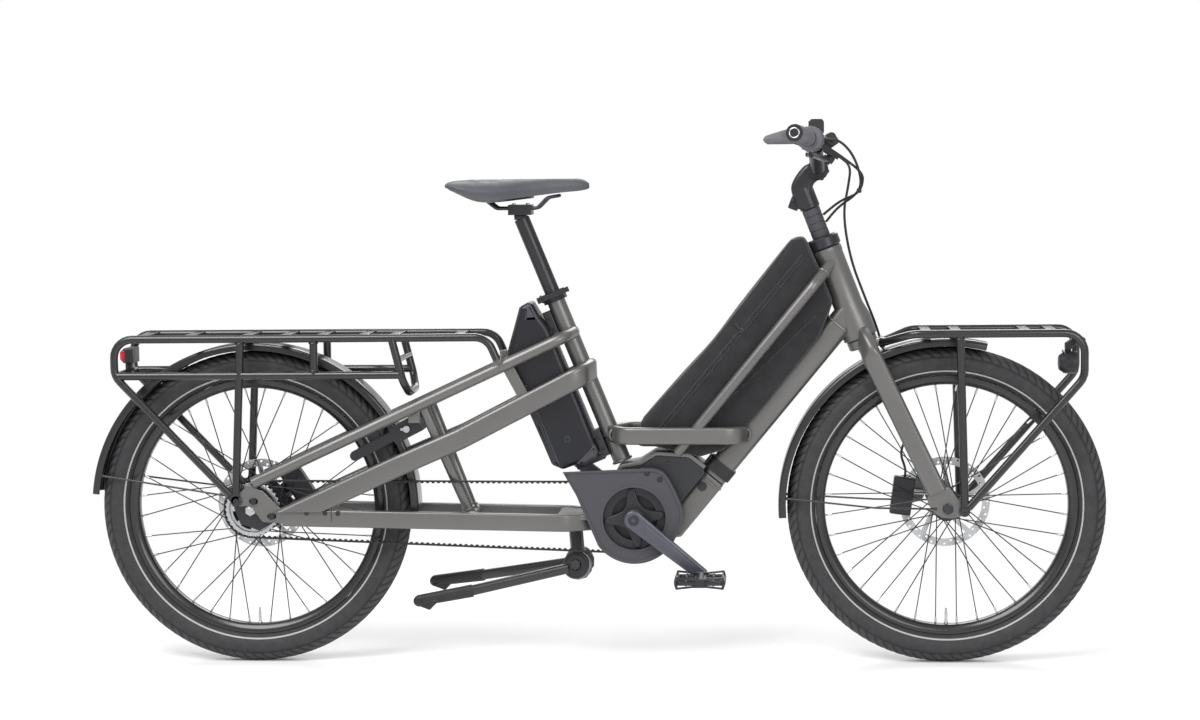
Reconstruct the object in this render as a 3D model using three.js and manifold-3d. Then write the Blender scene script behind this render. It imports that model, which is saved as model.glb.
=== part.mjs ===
// Longtail cargo bike: millimetres, +X forward, +Y to the rider's left, +Z up, wheels on the ground.
import * as THREE from "three";
import { mergeVertices } from "three/addons/utils/BufferGeometryUtils.js";
import Module from "manifold-3d";

const wasm = await Module();
wasm.setup();

// Fits and facets
const clearance = 0.3; // gap between pieces that touch
const runningGap = 1.5; // gap beside a turning piece
const overrun = 4; // how far a cutting tool runs past what it cuts
const vertexTolerance = 1e-4;
const railSides = 8;
const rackSides = 6;
const tubeSides = 10;
const drumSides = 16;
const wheelSides = 28;
const bendStep = 40; // degrees of bend between two rings of a tube

// Stance
const wheelbase = 1378;
const tyreRadius = 313.5;
const headAngle = 69; // degrees from level
const headReach = 1176.8; // rear axle to the steering axis, at headLevel
const headLevel = 736;
const seatAngle = 68; // degrees from level
const seatReach = 614.5; // rear axle to the seat axis, at seatLevel
const seatLevel = 708;
const crankReach = 763.5;
const crankLevel = 295;

// Tyres and rims
const tyreWidth = 60;
const rimWidth = 35;
const rimDepth = 18.5;
const rimBedWidth = 20;
const spokeRadius = 0.9;
const spokePairs = 9; // crossed pairs on each flange
const spokeLeanShare = 0.3; // spokes alternate about the flange's middle, by this share of its thickness
const spokeCrossing = 52; // degrees that a spoke leans from the radius, seen at the hub
const valveRadius = 3;
const valveLength = 32;

// Hubs and axles
const rearHubHalfWidth = 62; // half the space between the rear dropouts
const rearAxleRadius = 6;
const rearShellRadius = 45;
const rearFlangeRadius = 56;
const rearFlangeOffset = 30;
const flangeThickness = 5;
const frontHubHalfWidth = 55;
const frontAxleRadius = 7.5;
const frontShellRadius = 17;
const frontFlangeRadius = 29;
const frontFlangeOffset = 30;
const nutRadius = 11;
const nutLength = 8;

// Brakes
const rotorRadius = 90;
const rotorBand = 15;
const rotorThickness = 2;
const rotorOffset = 46; // rotor plane to the left of the wheel's middle
const rotorArms = 5;
const rotorArmWidth = 9;
const hubNeckRadius = 20;
const carrierRadius = 25;
const caliperLength = 76;
const caliperDepth = 42;
const rearCaliperAngle = 33; // degrees round the axle from straight ahead
const frontCaliperAngle = 172; // degrees

// Belt drive
const beltPlane = -49; // right of the middle
const beltWidth = 11;
const beltPitch = 11;
const beltBack = 2.4;
const beltSteps = 12;
const frontTeeth = 40;
const rearTeeth = 32;
const ringToothDepth = 3;
const ringWeb = 4;
const ringRimDepth = 9;
const spiderRadius = 52; // bolt circle of the ring
const spiderArmWidth = 15;
const spiderThickness = 5;

// Cranks and pedals
const crankLength = 170;
const crankAngle = -39; // degrees, right arm seen from the right, below level in front
const crankInnerFace = 78; // from the middle
const crankThickness = 14;
const crankBossRadius = 19;
const crankEyeRadius = 13;
const spindleRadius = 11;
const pedalLength = 100;
const pedalWidth = 94;
const pedalHeight = 18;
const pedalOffset = 156; // pedal's middle from the bike's middle
const pedalBar = 9;
const pedalAxleRadius = 5;
const pedalBarrelRadius = 8.5;

// Main frame tubes
const headTubeTop = 822;
const headTubeFoot = 646;
const headTubeTopRadius = 29;
const headTubeFootRadius = 34;
const steererRadius = 14.3;
const downAngle = 50.4; // degrees from level
const downTop = 699; // where the down tube meets the steering axis
const downDepth = 50;
const downWidth = 56;
const downFoot = 372;
const seatTubeTop = 731;
const seatTubeRadius = 18;
const seatTubeBoreFoot = 452;
const seatpostRadius = 15.4;
const sideRailRadius = 11;
const sideRailTop = 795;
const sideRailFoot = 424;
const sideRailFootReach = 849;
const stepRailLevel = 458;
const stepRailHeight = 34;
const stepRailWidth = 18;
const stepRailFront = 992;
const railHalfSpacing = 61;
const railBend = 30;
const railEndOffset = 10;
const sideRailTopOffset = 20;
const sideRailOffset = 58;
const sideRailFootOffset = 42;
const upperStayRadius = 12;
const upperStayRear = 368;
const upperStayFront = 657;
const upperStayRearReach = 6;
const stayHalfSpacing = 60; // beside the battery
const stayRearSpacing = 70; // beside the belt
const lowerStayHeight = 42;
const lowerStayWidth = 22;
const lowerStayRearReach = 92;
const lowerStayRear = 318;
const lowerStayMiddleReach = 300;
const lowerStayMiddle = 403;
const lowerStayBendReach = 420;
const lowerStayBendLevel = 454;
const lowerStayFront = 580;
const chainstayHeight = 34;
const chainstayWidth = 17;
const chainstayRear = 299;
const chainstayFront = 286;
const chainstaySetback = 103.5; // their front bend, behind the crank axis
const chainstayFrontReach = crankReach - chainstaySetback;
const chainstayRearReach = 64;
const chainstayHalfSpacing = 68; // middle of a chainstay from the bike's middle
const chainstayTurnOffset = 50;
const chainstayEndOffset = 31;
const dropoutReach = 70;
const dropoutThickness = 8;
const insertReach = 55;
const insertThickness = 5;
const boltHeadRadius = 7;
const boltHead = 4;
const padInnerFace = 58; // brake mount's face, from the middle
const slotLength = 17;
const slotWidth = 9.5;
const boltRadius = 4;
const braceRadius = 11;
const braceTopReach = 344;
const braceFootReach = 436;
const braceFootOffset = 21.8;
const braceTopOffset = 52;
const braceTopLevel = 524;
const braceFootLevel = 297;
const bridgeReach = 366;
const bridgeRadius = 9;
const gussetTopReach = 510;
const gussetFootReach = 558;
const gussetOffset = 58;
const gussetWidth = 24;
const gussetThickness = 8;
const standPlateSetback = 19; // its middle, behind the chainstays' front bend
const standPlateReach = chainstayFrontReach - standPlateSetback;
const standPlateLength = 62;
const standPlateThickness = 10;
const standPlateLevel = 296;
const standPlateWidth = 122;
const stayBend = 34;

// Motor bracket, motor and covers
const bracketWidth = 84;
const bracketWall = 8;
const motorWidth = 80;
const motorLength = 206;
const motorHeight = 176;
const coverLength = 146;
const coverWidth = 54;
const coverDepth = 44;

// Belt guard
const guardRadius = 90;
const guardOpening = 62;
const guardPlane = -64.5;
const guardThickness = 4;
const guardArcStart = -14; // degrees round the crank axis
const guardArcEnd = -143; // degrees
const guardLipEnd = -122; // degrees, where the belt leaves the guard
const guardLip = 16;
const guardLipWall = 4;
const guardBossRadius = 6;

// Rear battery and its holder
const batteryWidth = 78;
const batteryLength = 352;
const batteryDepth = 92;
const batteryTop = 722;
const batterySetback = 24; // battery's front face behind the seat axis
const holderStripWidth = 24;
const holderHeadLength = 34;
const holderFootLength = 52;
const holderFootDepth = 56;
const holderDrop = 22; // bottom of the strip above the foot of the battery

// Frame bag
const bagWidth = 84;
const bagBevel = 9;
const bagLength = 420;
const bagHeight = 445;
const bagRearReach = 764;
const bagFoot = 404;

// Seat
const seatCollarFoot = 722;
const seatCollarHeight = 20;
const seatEarReach = 24.5;
const seatEarLevel = 735;
const seatEarLength = 12;
const seatEarWidth = 24;
const seatLeverRadius = 7;
const seatLeverHeight = 12;
const seatLeverOffset = 32;
const seatCollarWall = 5;
const seatLeverLength = 60;
const seatLeverWidth = 10;
const seatpostTop = 886;
const seatpostLength = 345;
const saddleLength = 280;
const saddleSetback = 144; // its rear edge, behind the clamp's middle
const saddleLevel = 962;
const saddleWidth = 168;
const saddleNoseWidth = 42;
const saddleDepth = 27;
const saddleSkirt = 15;
const saddleGroove = 2.5;
const saddleRailRadius = 3.5;
const saddleRailSpacing = 44;
const saddleRailLevel = 907;
const saddleClampLength = 46;
const saddleClampWidth = 54;
const saddleClampHeight = 20;
const saddleClampLevel = 904;
const saddleClampSetback = 1.6; // behind the top of the post
const seatpostHeadDepth = 9;
const seatpostHeadWidth = 26;

// Rear rack
const rackTube = 8; // radius
const rackHalfSpacing = 78;
const rearRackLevel = 656;
const rearRackLower = 583;
const rearRackTail = -266; // rear loop, from the rear axle
const rearRackFront = 497;
const rearRackFrontLevel = 612;
const rackFootReach = -27;
const rackFootLevel = 333;
const rackLegReach = -12;
const rackPostReach = 134;
const hoopTopReach = 289;
const hoopFootReach = 318;
const hoopFootLevel = 546;
const hoopHalfWidth = 48;
const slatWidth = 20;
const slatThickness = 5;
const rackBend = 38;
const rackEyeOffset = 78.4; // middle of the foot plate from the bike's middle
const rackEyeThickness = 5;
const rackEyeRadius = 11;
const rackFootGap = 20;
const hoopKnee = 572;
const rackLugLength = 18;
const rackLugHeight = 26;
const tailBracketReach = -254;
const tailBracketTop = 604.7;

// Front rack
const frontRackLevel = 657;
const frontRackRear = 1258;
const frontRackRearLevel = 637;
const frontRackShoulder = 1310;
const frontRackFront = 1640;
const frontRackDrop = 571;
const frontRackLegReach = 1401;
const frontRackFootReach = 1410;
const frontRackFootLevel = 309;
const frontRackMouth = 24; // half width where it bolts to the crown
const mouthDepth = 10;
const mouthHeight = 20;
const lampBarDrop = 14;

// Lamps
const headlightRadius = 22;
const headlightLength = 38;
const headlightReach = 1616;
const headlightLevel = 594;
const lampPinLevel = 626;
const lampPinRadius = 2.5;
const lampEarWidth = 6;
const lampEarLength = 12;
const lampCheekFoot = 620;
const lampCheekThickness = 3;
const tailLightWidth = 60;
const tailLightHeight = 30;
const tailLightDepth = 26;

// Mudguards
const guardGap = 17.5; // from the tyre's tread to the guard's outer face
const guardOuterRadius = tyreRadius + guardGap;
const guardHalfWidth = 34;
const guardDepth = 15;
const guardWall = 2.5;
const rearGuardStart = 175; // degrees round the axle from straight ahead
const rearGuardEnd = -1.5; // degrees
const frontGuardStart = 184; // degrees
const frontGuardEnd = 76; // degrees
const guardStep = 13.5; // degrees of arc between two rings of a guard
const wireRadius = 2;
const wireBendReach = 140; // from the front axle back to the wire's bend

// Ring lock
const lockAngle = 27; // degrees round the rear axle
const lockArmReach = 99; // inward from the mudguard's outer face
const lockRise = 47; // outward from it
const lockInner = guardOuterRadius - lockArmReach;
const lockOuter = guardOuterRadius + lockRise;
const lockArmWidth = 20;
const lockArmThickness = 8;
const lockHalfWidth = 45.3;
const lockTabLength = 24;
const lockTabHeight = 30;
const lockKeyLength = 15;
const lockKeyWidth = 5;
const lockBodyDepth = 34;
const lockBarrelRadius = 7;

// Stand
const standAxisOffset = 34; // pivot centre from the bike's middle
const standAxisLevel = 197;
const standPivotLead = 7; // ahead of the stand plate's middle
const standPivotReach = standPlateReach + standPivotLead;
const standDiscRadius = 28;
const standDiscThickness = 12;
const standPostRadius = 14;
const standLegRadius = 9.5;
const standLegReach = 285;
const standLegSpread = 86;
const standLegDrop = 74;
const standFootReach = 40;
const standFootRise = 22;
const standTiltShares = [-0.234, -1, 0.239]; // right pivot's axis, outer end back and up
const standFlangeLength = 50;
const standFlangeWidth = 56;
const standFlangeThickness = 6;
const standHeadRadius = 11;
const standHeadThickness = 4;
const standBodyRadius = 19;
const standFootRadius = 12;
const standPivotRadius = 7;

// Fork
const forkLegDepth = 46;
const forkLegWidth = 22;
const forkHalfSpacing = 62;
const forkCrownLevel = 628;
const forkShoulder = 620;
const forkShoulderOffset = 46;
const crownRaceRadius = 30;
const forkStemRadius = 14; // carries the mudguard
const forkBossLength = 12;
const forkAnkle = 346;
const forkDropThickness = 11;
const forkTopReach = 1231;
const forkAnkleReach = 1357;

// Steering column
const collarRadius = 32;
const collarHeight = 24;
const spacerRadius = 18;
const spacerTop = 900;
const stemClampTop = 940;
const stemRadius = 20;
const stemNeckRadius = 15;
const barClampReach = 1128;
const barClampLevel = 977;
const barClampRadius = 21;
const barClampWidth = 46;
const stemEarReach = 30;
const stemEarLength = 20;
const stemEarWidth = 24;
const stemEarHeight = 26;

// Handlebar and controls
const barRadius = 11.1;
const riserRadius = 14;
const barHalfWidth = 330;
const barEndReach = 1081;
const barEndLevel = 1047;
const riserFoot = 52;
const riserTop = 118;
const riserTopLevel = 1033;
const riserTopReach = 1122;
const gripRadius = 16.5;
const gripLength = 128;
const wingLength = 58;
const wingWidth = 96;
const shifterRadius = 25;
const shifterLength = 42;
const perchOffset = 136;
const perchWidth = 16;
const perchRadius = 17;
const perchReach = 38;
const perchDrop = 26;
const leverLength = 148;
const leverWidth = 9;
const leverThickness = 12;
const displayWidth = 66;
const displayDepth = 28;
const displayHeight = 28;
const displayReach = 1126;
const displayLevel = 1062;
const hoseRadius = 2.6;
const loopBend = 30;
const hoseClip = [1207, -70, 936];
const rightHoseRoute = [[1214, -100, 971], [1213, -80, 945], [1202, -60, 928]];
const rightCableRoute = [
  [1139.5, -165, 1036], [1168, -158, 1034], [1196, -124, 1004], [1212, -92, 955], [1204, -66, 930],
];
const rightHoseEnd = [[895, 60, -24], [882, 19.6, -5]]; // level, ahead of and beside the steering axis
const rightCableEnd = [[885, 50, -20], [868, 19.6, -3]];
const leftHoseRoute = [
  [1196, 100, 985], [1190, 60, 945], [1178, 40, 890], [1192, 30, 800], [1222, 28, 720],
  [1246, 44, 660], [1262, 79, 600], [1312, 79, 450], [1290, 79, 410],
];

// Outlines, as shares of the sizes that they follow
const batteryFootShare = 0.89;
const batteryTopShare = 0.018;
const railRearShare = 0.24;
const railNoseShare = 0.79;
const bracketShares = [
  [-0.357, -0.188], [-0.138, 0.568], [0.061, 0.608], [0.206, 0.716], [0.527, 0.693], [0.677, 0.557],
];
const motorFootShares = [[0.2, -0.29], [0.109, -0.358], [-0.133, -0.335]];
const guardShares = [[-1.27, 0.52], [-1.56, 1.03], [0.48, 1.11], [0.73, 0.99], [1.09, 0.21], [1.07, -0.12]];
const guardBossShares = [[0.57, 0.86], [0.29, 1]];
const dropoutShares = [
  [-0.08, 0.76], [0.37, 0.54], [0.88, 0.03], [1.13, 0.06], [1.6, 0.06], [1.6, -0.4], [0.35, -0.33],
  [0.13, -0.04], [-0.07, 0.13], [-0.45, 0.12], [-0.56, 0.28], [-0.45, 0.44], [-0.2, 0.59],
];
const dropoutBoltShares = [[0.1, 0.264], [0.614, -0.164]];
const insertShares = [
  [-0.62, 0.1], [-0.3, 0.62], [0.35, 0.62], [0.95, 0.1], [1, -0.35], [0.3, -0.75], [-0.4, -0.5],
];
const brakePadShares = [[0.55, 0.31], [1, 0.13], [1.31, 0.58], [0.91, 0.95], [0.62, 0.6]];
const batteryShares = [
  [-0.213, 0.056], [-0.455, 0.051], [-1.198, -0.201], [-1.148, -0.844], [-0.973, -0.89],
  [-0.076, -0.887], [-0.037, -0.808], [0.015, -0.115], [0.018, -0.014],
];
const bagShares = [
  [0.025, 0.173], [0.364, 0.537], [0.75, 0.989], [0.807, 1], [0.879, 0.849], [0.94, 0.706],
  [0.845, 0.557], [0.583, 0.252], [0.388, 0.07], [0.286, 0.03], [0.15, 0.049], [0.1, 0.063], [0, 0.065],
];
const sideRailShares = [0.12, 0.5, 0.86]; // along the rail, where its spread changes
const upperStayShares = [0.23, 0.467, 0.988, 1.012];
const lowerStayShares = [0.984, 1.045];
const chainstayShares = [0.945, 0.995];
const rearSlatReachShares = [-0.82, -0.466, -0.03, 0.263, 0.538, 0.853, 1.09, 1.57]; // of the tail's reach
const frontSlatReachShares = [0.083, 0.26, 0.667, 0.82]; // from shoulder to front
// round the saddle's section: share of half width, share of depth, share of the skirt
const saddleSectionShares = [
  [-0.82, 0, 0], [-0.88, 0, 1], [-0.96, 0, 1], [-1, 0.3, 0.4], [-0.97, 0.6, 0], [-0.86, 0.82, 0],
  [-0.66, 0.94, 0], [-0.4, 0.99, 0], [-0.13, 1, 0],
];
// along the saddle: share of length, of width, drop of the top, skirt and groove
const saddleStationShares = [
  [0, 0.75, 0.3, 0.5, 0], [0.04, 0.92, 0.07, 0.75, 0.2], [0.14, 1, 0, 0.9, 1],
  [0.2, 0.99, 0, 0.95, 1], [0.212, 0.985, 0.1, 0.97, 1], [0.224, 0.98, 0, 1, 1],
  [0.35, 0.88, 0.02, 0.9, 1], [0.362, 0.86, 0.12, 0.88, 1], [0.374, 0.84, 0.03, 0.85, 1],
  [0.44, 0.72, 0.05, 0.7, 1], [0.52, 0.56, 0.07, 0.5, 1], [0.6, 0.44, 0.08, 0.35, 1],
  [0.7, 0.35, 0.08, 0.25, 0.8],
  [0.82, 0.3, 0.07, 0.2, 0.5], [0.95, 0.25, 0.12, 0.2, 0], [1, 0.15, 0.34, 0.1, 0],
];
const forkDropShares = [
  [-0.9, 0.56], [0.06, 0.94], [0.42, 0.42], [0.84, 0.12], [0.9, -0.24], [0.46, -0.36], [0.14, -0.42],
  [-0.26, -0.38], [-0.56, -0.2], [-0.82, 0.16],
]; // round the axle, of the leg's depth
const forkBrakeShares = [[-0.9, 1.2], [-1.94, 1.1], [-2.2, 0.2], [-1.7, -0.25], [-0.86, 0.1]];
const wingShares = [
  [0.1, 0.5], [-0.4, 0.35], [-1, 0], [-1.12, -0.25], [-1.02, -0.5], [-0.3, -0.5], [0.1, -0.45],
];

// Finishes
const finish = (color, roughness, metalness) =>
  new THREE.MeshStandardMaterial({ color, roughness, metalness });
const framePaint = finish(0x75716c, 0.42, 0.6);
const satinBlack = finish(0x232426, 0.45, 0.4);
const castBlack = finish(0x2c2d31, 0.55, 0.3);
const guardGrey = finish(0x55565c, 0.6, 0.1);
const batteryShell = finish(0x2d2e38, 0.5, 0.1);
const tyreRubber = finish(0x3d3e40, 0.85, 0);
const gripRubber = finish(0x47484a, 0.8, 0);
const bareSteel = finish(0xc9cacc, 0.3, 0.9);
const bagCloth = finish(0x1d1d20, 0.85, 0);
const saddleSkin = finish(0x4a4b4f, 0.6, 0);
const redLens = finish(0xa8141c, 0.25, 0);
const hoseBlack = finish(0x1b1b1c, 0.5, 0);

// Helpers for places and angles
const P = (x, y, z) => new THREE.Vector3(x, y, z);
const rad = THREE.MathUtils.degToRad;
const sides = [-1, 1]; // right, left
const sideName = (side) => (side < 0 ? "right" : "left");
const rearAxle = P(0, 0, tyreRadius);
const frontAxle = P(wheelbase, 0, tyreRadius);
const crankAxis = P(crankReach, 0, crankLevel);

function headPoint(level, y = 0) {
  return P(headReach - (level - headLevel) / Math.tan(rad(headAngle)), y, level);
}
function seatPoint(level, y = 0) {
  return P(seatReach - (level - seatLevel) / Math.tan(rad(seatAngle)), y, level);
}
function downPoint(level, y = 0) {
  return P(headPoint(downTop).x - (downTop - level) / Math.tan(rad(downAngle)), y, level);
}
const headUp = P(-Math.cos(rad(headAngle)), 0, Math.sin(rad(headAngle)));
const headFront = P(Math.sin(rad(headAngle)), 0, Math.cos(rad(headAngle)));
const seatUp = P(-Math.cos(rad(seatAngle)), 0, Math.sin(rad(seatAngle)));
const seatFront = P(Math.sin(rad(seatAngle)), 0, Math.cos(rad(seatAngle)));
const downUp = P(Math.cos(rad(downAngle)), 0, Math.sin(rad(downAngle)));
const acrossBike = P(0, 1, 0);
const saddleClampReach = seatPoint(seatpostTop).x - saddleClampSetback;
const saddleRearReach = saddleClampReach - saddleSetback;

const along = (from, direction, distance) => from.clone().addScaledVector(direction, distance);
const atSide = (point, side, offset) => P(point.x, side * offset, point.z);
const fitRadius = (radius, count = tubeSides) => (radius + clearance) / Math.cos(Math.PI / count);

// Solids
function toSolid(geometry) {
  const bare = geometry.index ? geometry.toNonIndexed() : geometry.clone();
  bare.deleteAttribute("normal");
  bare.deleteAttribute("uv");
  const merged = mergeVertices(bare, vertexTolerance);
  const corners = merged.index.array;
  const kept = [];
  for (let i = 0; i < corners.length; i += 3) {
    const [a, b, c] = corners.slice(i, i + 3);
    if (a !== b && b !== c && c !== a) kept.push(a, b, c);
  }
  const vertProperties = merged.attributes.position.array;
  const build = (order) =>
    new wasm.Manifold(new wasm.Mesh({ numProp: 3, vertProperties, triVerts: new Uint32Array(order) }));
  const made = build(kept);
  return made.volume() > 0 ? made : build(kept.reverse());
}
const join = (...solids) => solids.flat().reduce((whole, next) => whole.add(next));
const cut = (solid, ...tools) => tools.flat().reduce((rest, tool) => rest.subtract(tool), solid);

// Puts a geometry drawn along +Y at origin, along axis.
function aimed(geometry, origin, axis) {
  geometry.applyQuaternion(new THREE.Quaternion().setFromUnitVectors(acrossBike, axis.clone().normalize()));
  geometry.translate(origin.x, origin.y, origin.z);
  return geometry;
}

function rod(from, to, radius, endRadius = radius, count = tubeSides) {
  if (radius === endRadius) return swept([from, to], circle([0, 0], radius, count));
  const axis = to.clone().sub(from);
  const geometry = new THREE.CylinderGeometry(endRadius, radius, axis.length(), count);
  return toSolid(aimed(geometry, from.clone().lerp(to, 1 / 2), axis));
}

function block(center, length, width, height, pitch = 0) {
  const geometry = new THREE.BoxGeometry(length, width, height);
  geometry.rotateY(-rad(pitch));
  geometry.translate(center.x, center.y, center.z);
  return toSolid(geometry);
}

// A turned solid: profile pairs are radius and place along the axis.
function turned(profile, count, origin = P(0, 0, 0), axis = acrossBike) {
  const loop = profile[0][0] > 0 ? [...profile, profile[0]] : profile;
  const points = loop.map(([radius, place]) => new THREE.Vector2(radius, place));
  return toSolid(aimed(new THREE.LatheGeometry(points, count), origin, axis));
}

function sleeve(from, to, inner, outer, count = tubeSides) {
  const axis = to.clone().sub(from);
  const length = axis.length();
  return turned([[inner, 0], [outer, 0], [outer, length], [inner, length]], count, from, axis);
}

const toVector2 = ([x, z]) => new THREE.Vector2(x, z);

const flat = (point) => [point.x, point.z];

// A plate drawn in the side view, centred on y.
function plate(outline, thickness, y, holes = [], bevel = 0) {
  const shape = new THREE.Shape(outline.map(toVector2));
  shape.holes = holes.map((hole) => new THREE.Path(hole.map(toVector2)));
  const geometry = new THREE.ExtrudeGeometry(shape, {
    depth: thickness - 2 * bevel,
    bevelEnabled: bevel > 0,
    bevelSize: bevel,
    bevelThickness: bevel,
    bevelOffset: -bevel,
    bevelSegments: 1,
  });
  geometry.rotateX(Math.PI / 2);
  geometry.translate(0, y + thickness / 2 - bevel, 0);
  return toSolid(geometry);
}

function arc(center, radius, fromDegrees, toDegrees, steps) {
  return Array.from({ length: steps + 1 }, (_, i) => {
    const angle = rad(fromDegrees + ((toDegrees - fromDegrees) * i) / steps);
    return [center[0] + radius * Math.cos(angle), center[1] + radius * Math.sin(angle)];
  });
}
const circle = (center, radius, count = tubeSides) => arc(center, radius, 0, 360, count).slice(0, -1);
const placed = (shares, origin, width, height = width) =>
  shares.map(([u, v]) => [origin.x + u * width, origin.z + v * height]);

// A line of points with one frame at each point; side is the direction of the section's own x.
class Route extends THREE.Curve {
  constructor(points, side) {
    super();
    this.points = points;
    this.side = side;
  }
  getPointAt(share) {
    return this.points[Math.round(share * (this.points.length - 1))].clone();
  }
  tangent(i) {
    const last = this.points.length - 1;
    const before = this.points[Math.max(i - 1, 0)];
    const after = this.points[Math.min(i + 1, last)];
    const here = this.points[i];
    const coming = here.clone().sub(before).normalize();
    const going = after.clone().sub(here).normalize();
    return coming.add(going).normalize();
  }
  computeFrenetFrames(count) {
    const frames = { tangents: [], normals: [], binormals: [] };
    let guide = this.side ?? this.anyAcross();
    for (let i = 0; i <= count; i++) {
      const tangent = this.tangent(i);
      const normal = guide.clone().addScaledVector(tangent, -guide.dot(tangent)).normalize();
      if (!this.side) guide = normal;
      frames.tangents.push(tangent);
      frames.normals.push(normal);
      frames.binormals.push(tangent.clone().cross(normal));
    }
    return frames;
  }
  anyAcross() {
    const start = this.tangent(0);
    return Math.abs(start.z) < Math.SQRT1_2 ? P(0, 0, 1) : P(1, 0, 0);
  }
}

// Rounds the corners of a line of points.
function rounded(corners, radius) {
  const points = [corners[0]];
  for (let i = 1; i < corners.length - 1; i++) {
    const here = corners[i];
    const back = corners[i - 1].clone().sub(here);
    const ahead = corners[i + 1].clone().sub(here);
    const turn = Math.PI - back.angleTo(ahead);
    const room = Math.min(back.length(), ahead.length()) / 2;
    const reach = Math.min(radius * Math.tan(turn / 2), room);
    const steps = Math.max(1, Math.round(turn / rad(bendStep)));
    if (turn < rad(bendStep / 2)) {
      points.push(here);
      continue;
    }
    back.normalize();
    ahead.normalize();
    const toCenter = reach / Math.tan(turn / 2) / Math.cos(turn / 2);
    const center = along(here, back.clone().add(ahead).normalize(), toCenter);
    const arm = along(here, back, reach).sub(center);
    const axis = back.clone().negate().cross(ahead).normalize();
    for (let s = 0; s <= steps; s++) {
      points.push(arm.clone().applyAxisAngle(axis, (turn * s) / steps).add(center));
    }
  }
  points.push(corners.at(-1));
  return points;
}

function swept(points, section, side) {
  const shape = new THREE.Shape(section.map(toVector2));
  const extrudePath = new Route(points, side);
  return toSolid(new THREE.ExtrudeGeometry(shape, { steps: points.length - 1, extrudePath }));
}
const tube = (corners, radius, bend = rackBend, count = railSides) =>
  swept(rounded(corners, bend), circle([0, 0], radius, count));

// A box section with its corners taken off.
function boxSection(width, height, chamfer = Math.min(width, height) / 4) {
  const x = width / 2;
  const z = height / 2;
  if (chamfer === 0) return [[x, -z], [x, z], [-x, z], [-x, -z]];
  return [
    [x, chamfer - z], [x, z - chamfer], [x - chamfer, z], [chamfer - x, z],
    [-x, z - chamfer], [-x, chamfer - z], [chamfer - x, -z], [x - chamfer, -z],
  ];
}

const bike = new THREE.Group();
function group(parent, at) {
  const made = new THREE.Group();
  made.position.copy(at);
  parent.add(made);
  return made;
}
function piece(parent, name, solid, material) {
  const { vertProperties, triVerts } = solid.getMesh();
  const geometry = new THREE.BufferGeometry();
  geometry.setAttribute("position", new THREE.BufferAttribute(vertProperties, 3));
  geometry.setIndex(new THREE.BufferAttribute(triVerts, 1));
  geometry.computeVertexNormals();
  const mesh = new THREE.Mesh(geometry, material);
  mesh.name = name;
  parent.add(mesh);
}

// Wheels, drawn round their own axle
const insertOffset = rearHubHalfWidth + clearance + insertThickness / 2;
const dropoutOffset = insertOffset + insertThickness / 2 + clearance + dropoutThickness / 2;
const caliperWidth = 2 * (padInnerFace - rotorOffset - clearance);
const sectionRadius = tyreWidth / 2;
const sectionCenter = tyreRadius - sectionRadius;
const beadAngle = 150; // degrees round the tyre's section from the tread to the bead
const beadRadius = sectionCenter + sectionRadius * Math.cos(rad(beadAngle));
const rimRadius = beadRadius - clearance;
const rimBedRadius = rimRadius - rimDepth;
const spokeEndRadius = rimBedRadius * Math.cos(Math.PI / wheelSides) - clearance;

function tyre() {
  return turned(arc([sectionCenter, 0], sectionRadius, -beadAngle, beadAngle, 6), wheelSides);
}

function rim() {
  const lip = rimDepth / 3;
  const outer = rimWidth / 2;
  const bed = rimBedWidth / 2;
  const right = [[rimRadius, -outer], [rimRadius - lip, -outer], [rimBedRadius, -bed]];
  const left = right.map(([radius, y]) => [radius, -y]).reverse();
  const ring = turned([...right, ...left], wheelSides);
  const valveFoot = P(0, 0, -rimBedRadius - spokeRadius);
  const valve = rod(valveFoot, P(0, 0, valveLength - rimBedRadius), valveRadius, valveRadius, railSides);
  return join(ring, valve);
}

// The spokes leave each flange in crossed pairs; flanges sit at plus and minus offset.
function spokes(flangeRadius, offset) {
  const made = [];
  const count = spokePairs * 2;
  const holeRadius = flangeRadius - flangeThickness;
  for (const side of sides) {
    for (let i = 0; i < count; i++) {
      const lean = i % 2 ? 1 : -1;
      const rimAngle = rad((360 * (i + (side > 0 ? 1 / 2 : 0) + 1 / 4)) / count);
      const hubAngle = rimAngle + lean * rad(spokeCrossing);
      const face = offset + lean * flangeThickness * spokeLeanShare;
      const hub = P(Math.sin(hubAngle) * holeRadius, side * face, Math.cos(hubAngle) * holeRadius);
      const end = P(Math.sin(rimAngle) * spokeEndRadius, 0, Math.cos(rimAngle) * spokeEndRadius);
      made.push(rod(hub, end, spokeRadius, spokeRadius, 3));
    }
  }
  return made;
}

function hub(shellRadius, flangeRadius, offset, halfWidth, axleRadius) {
  const bore = fitRadius(axleRadius);
  const half = halfWidth - runningGap;
  const inner = offset - flangeThickness / 2;
  const outer = offset + flangeThickness / 2;
  const leftHalf = [
    [shellRadius, inner],
    [flangeRadius, inner],
    [flangeRadius, outer],
    [hubNeckRadius, outer],
    [hubNeckRadius, half],
    [bore, half],
  ];
  const rightHalf = leftHalf.map(([radius, y]) => [radius, -y]).reverse();
  const body = turned([...rightHalf, ...leftHalf], drumSides);
  return join(body, spokes(flangeRadius, offset));
}

const rearHub = () =>
  hub(rearShellRadius, rearFlangeRadius, rearFlangeOffset, rearHubHalfWidth, rearAxleRadius);
const frontHub = () =>
  hub(frontShellRadius, frontFlangeRadius, frontFlangeOffset, frontHubHalfWidth, frontAxleRadius);

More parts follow.
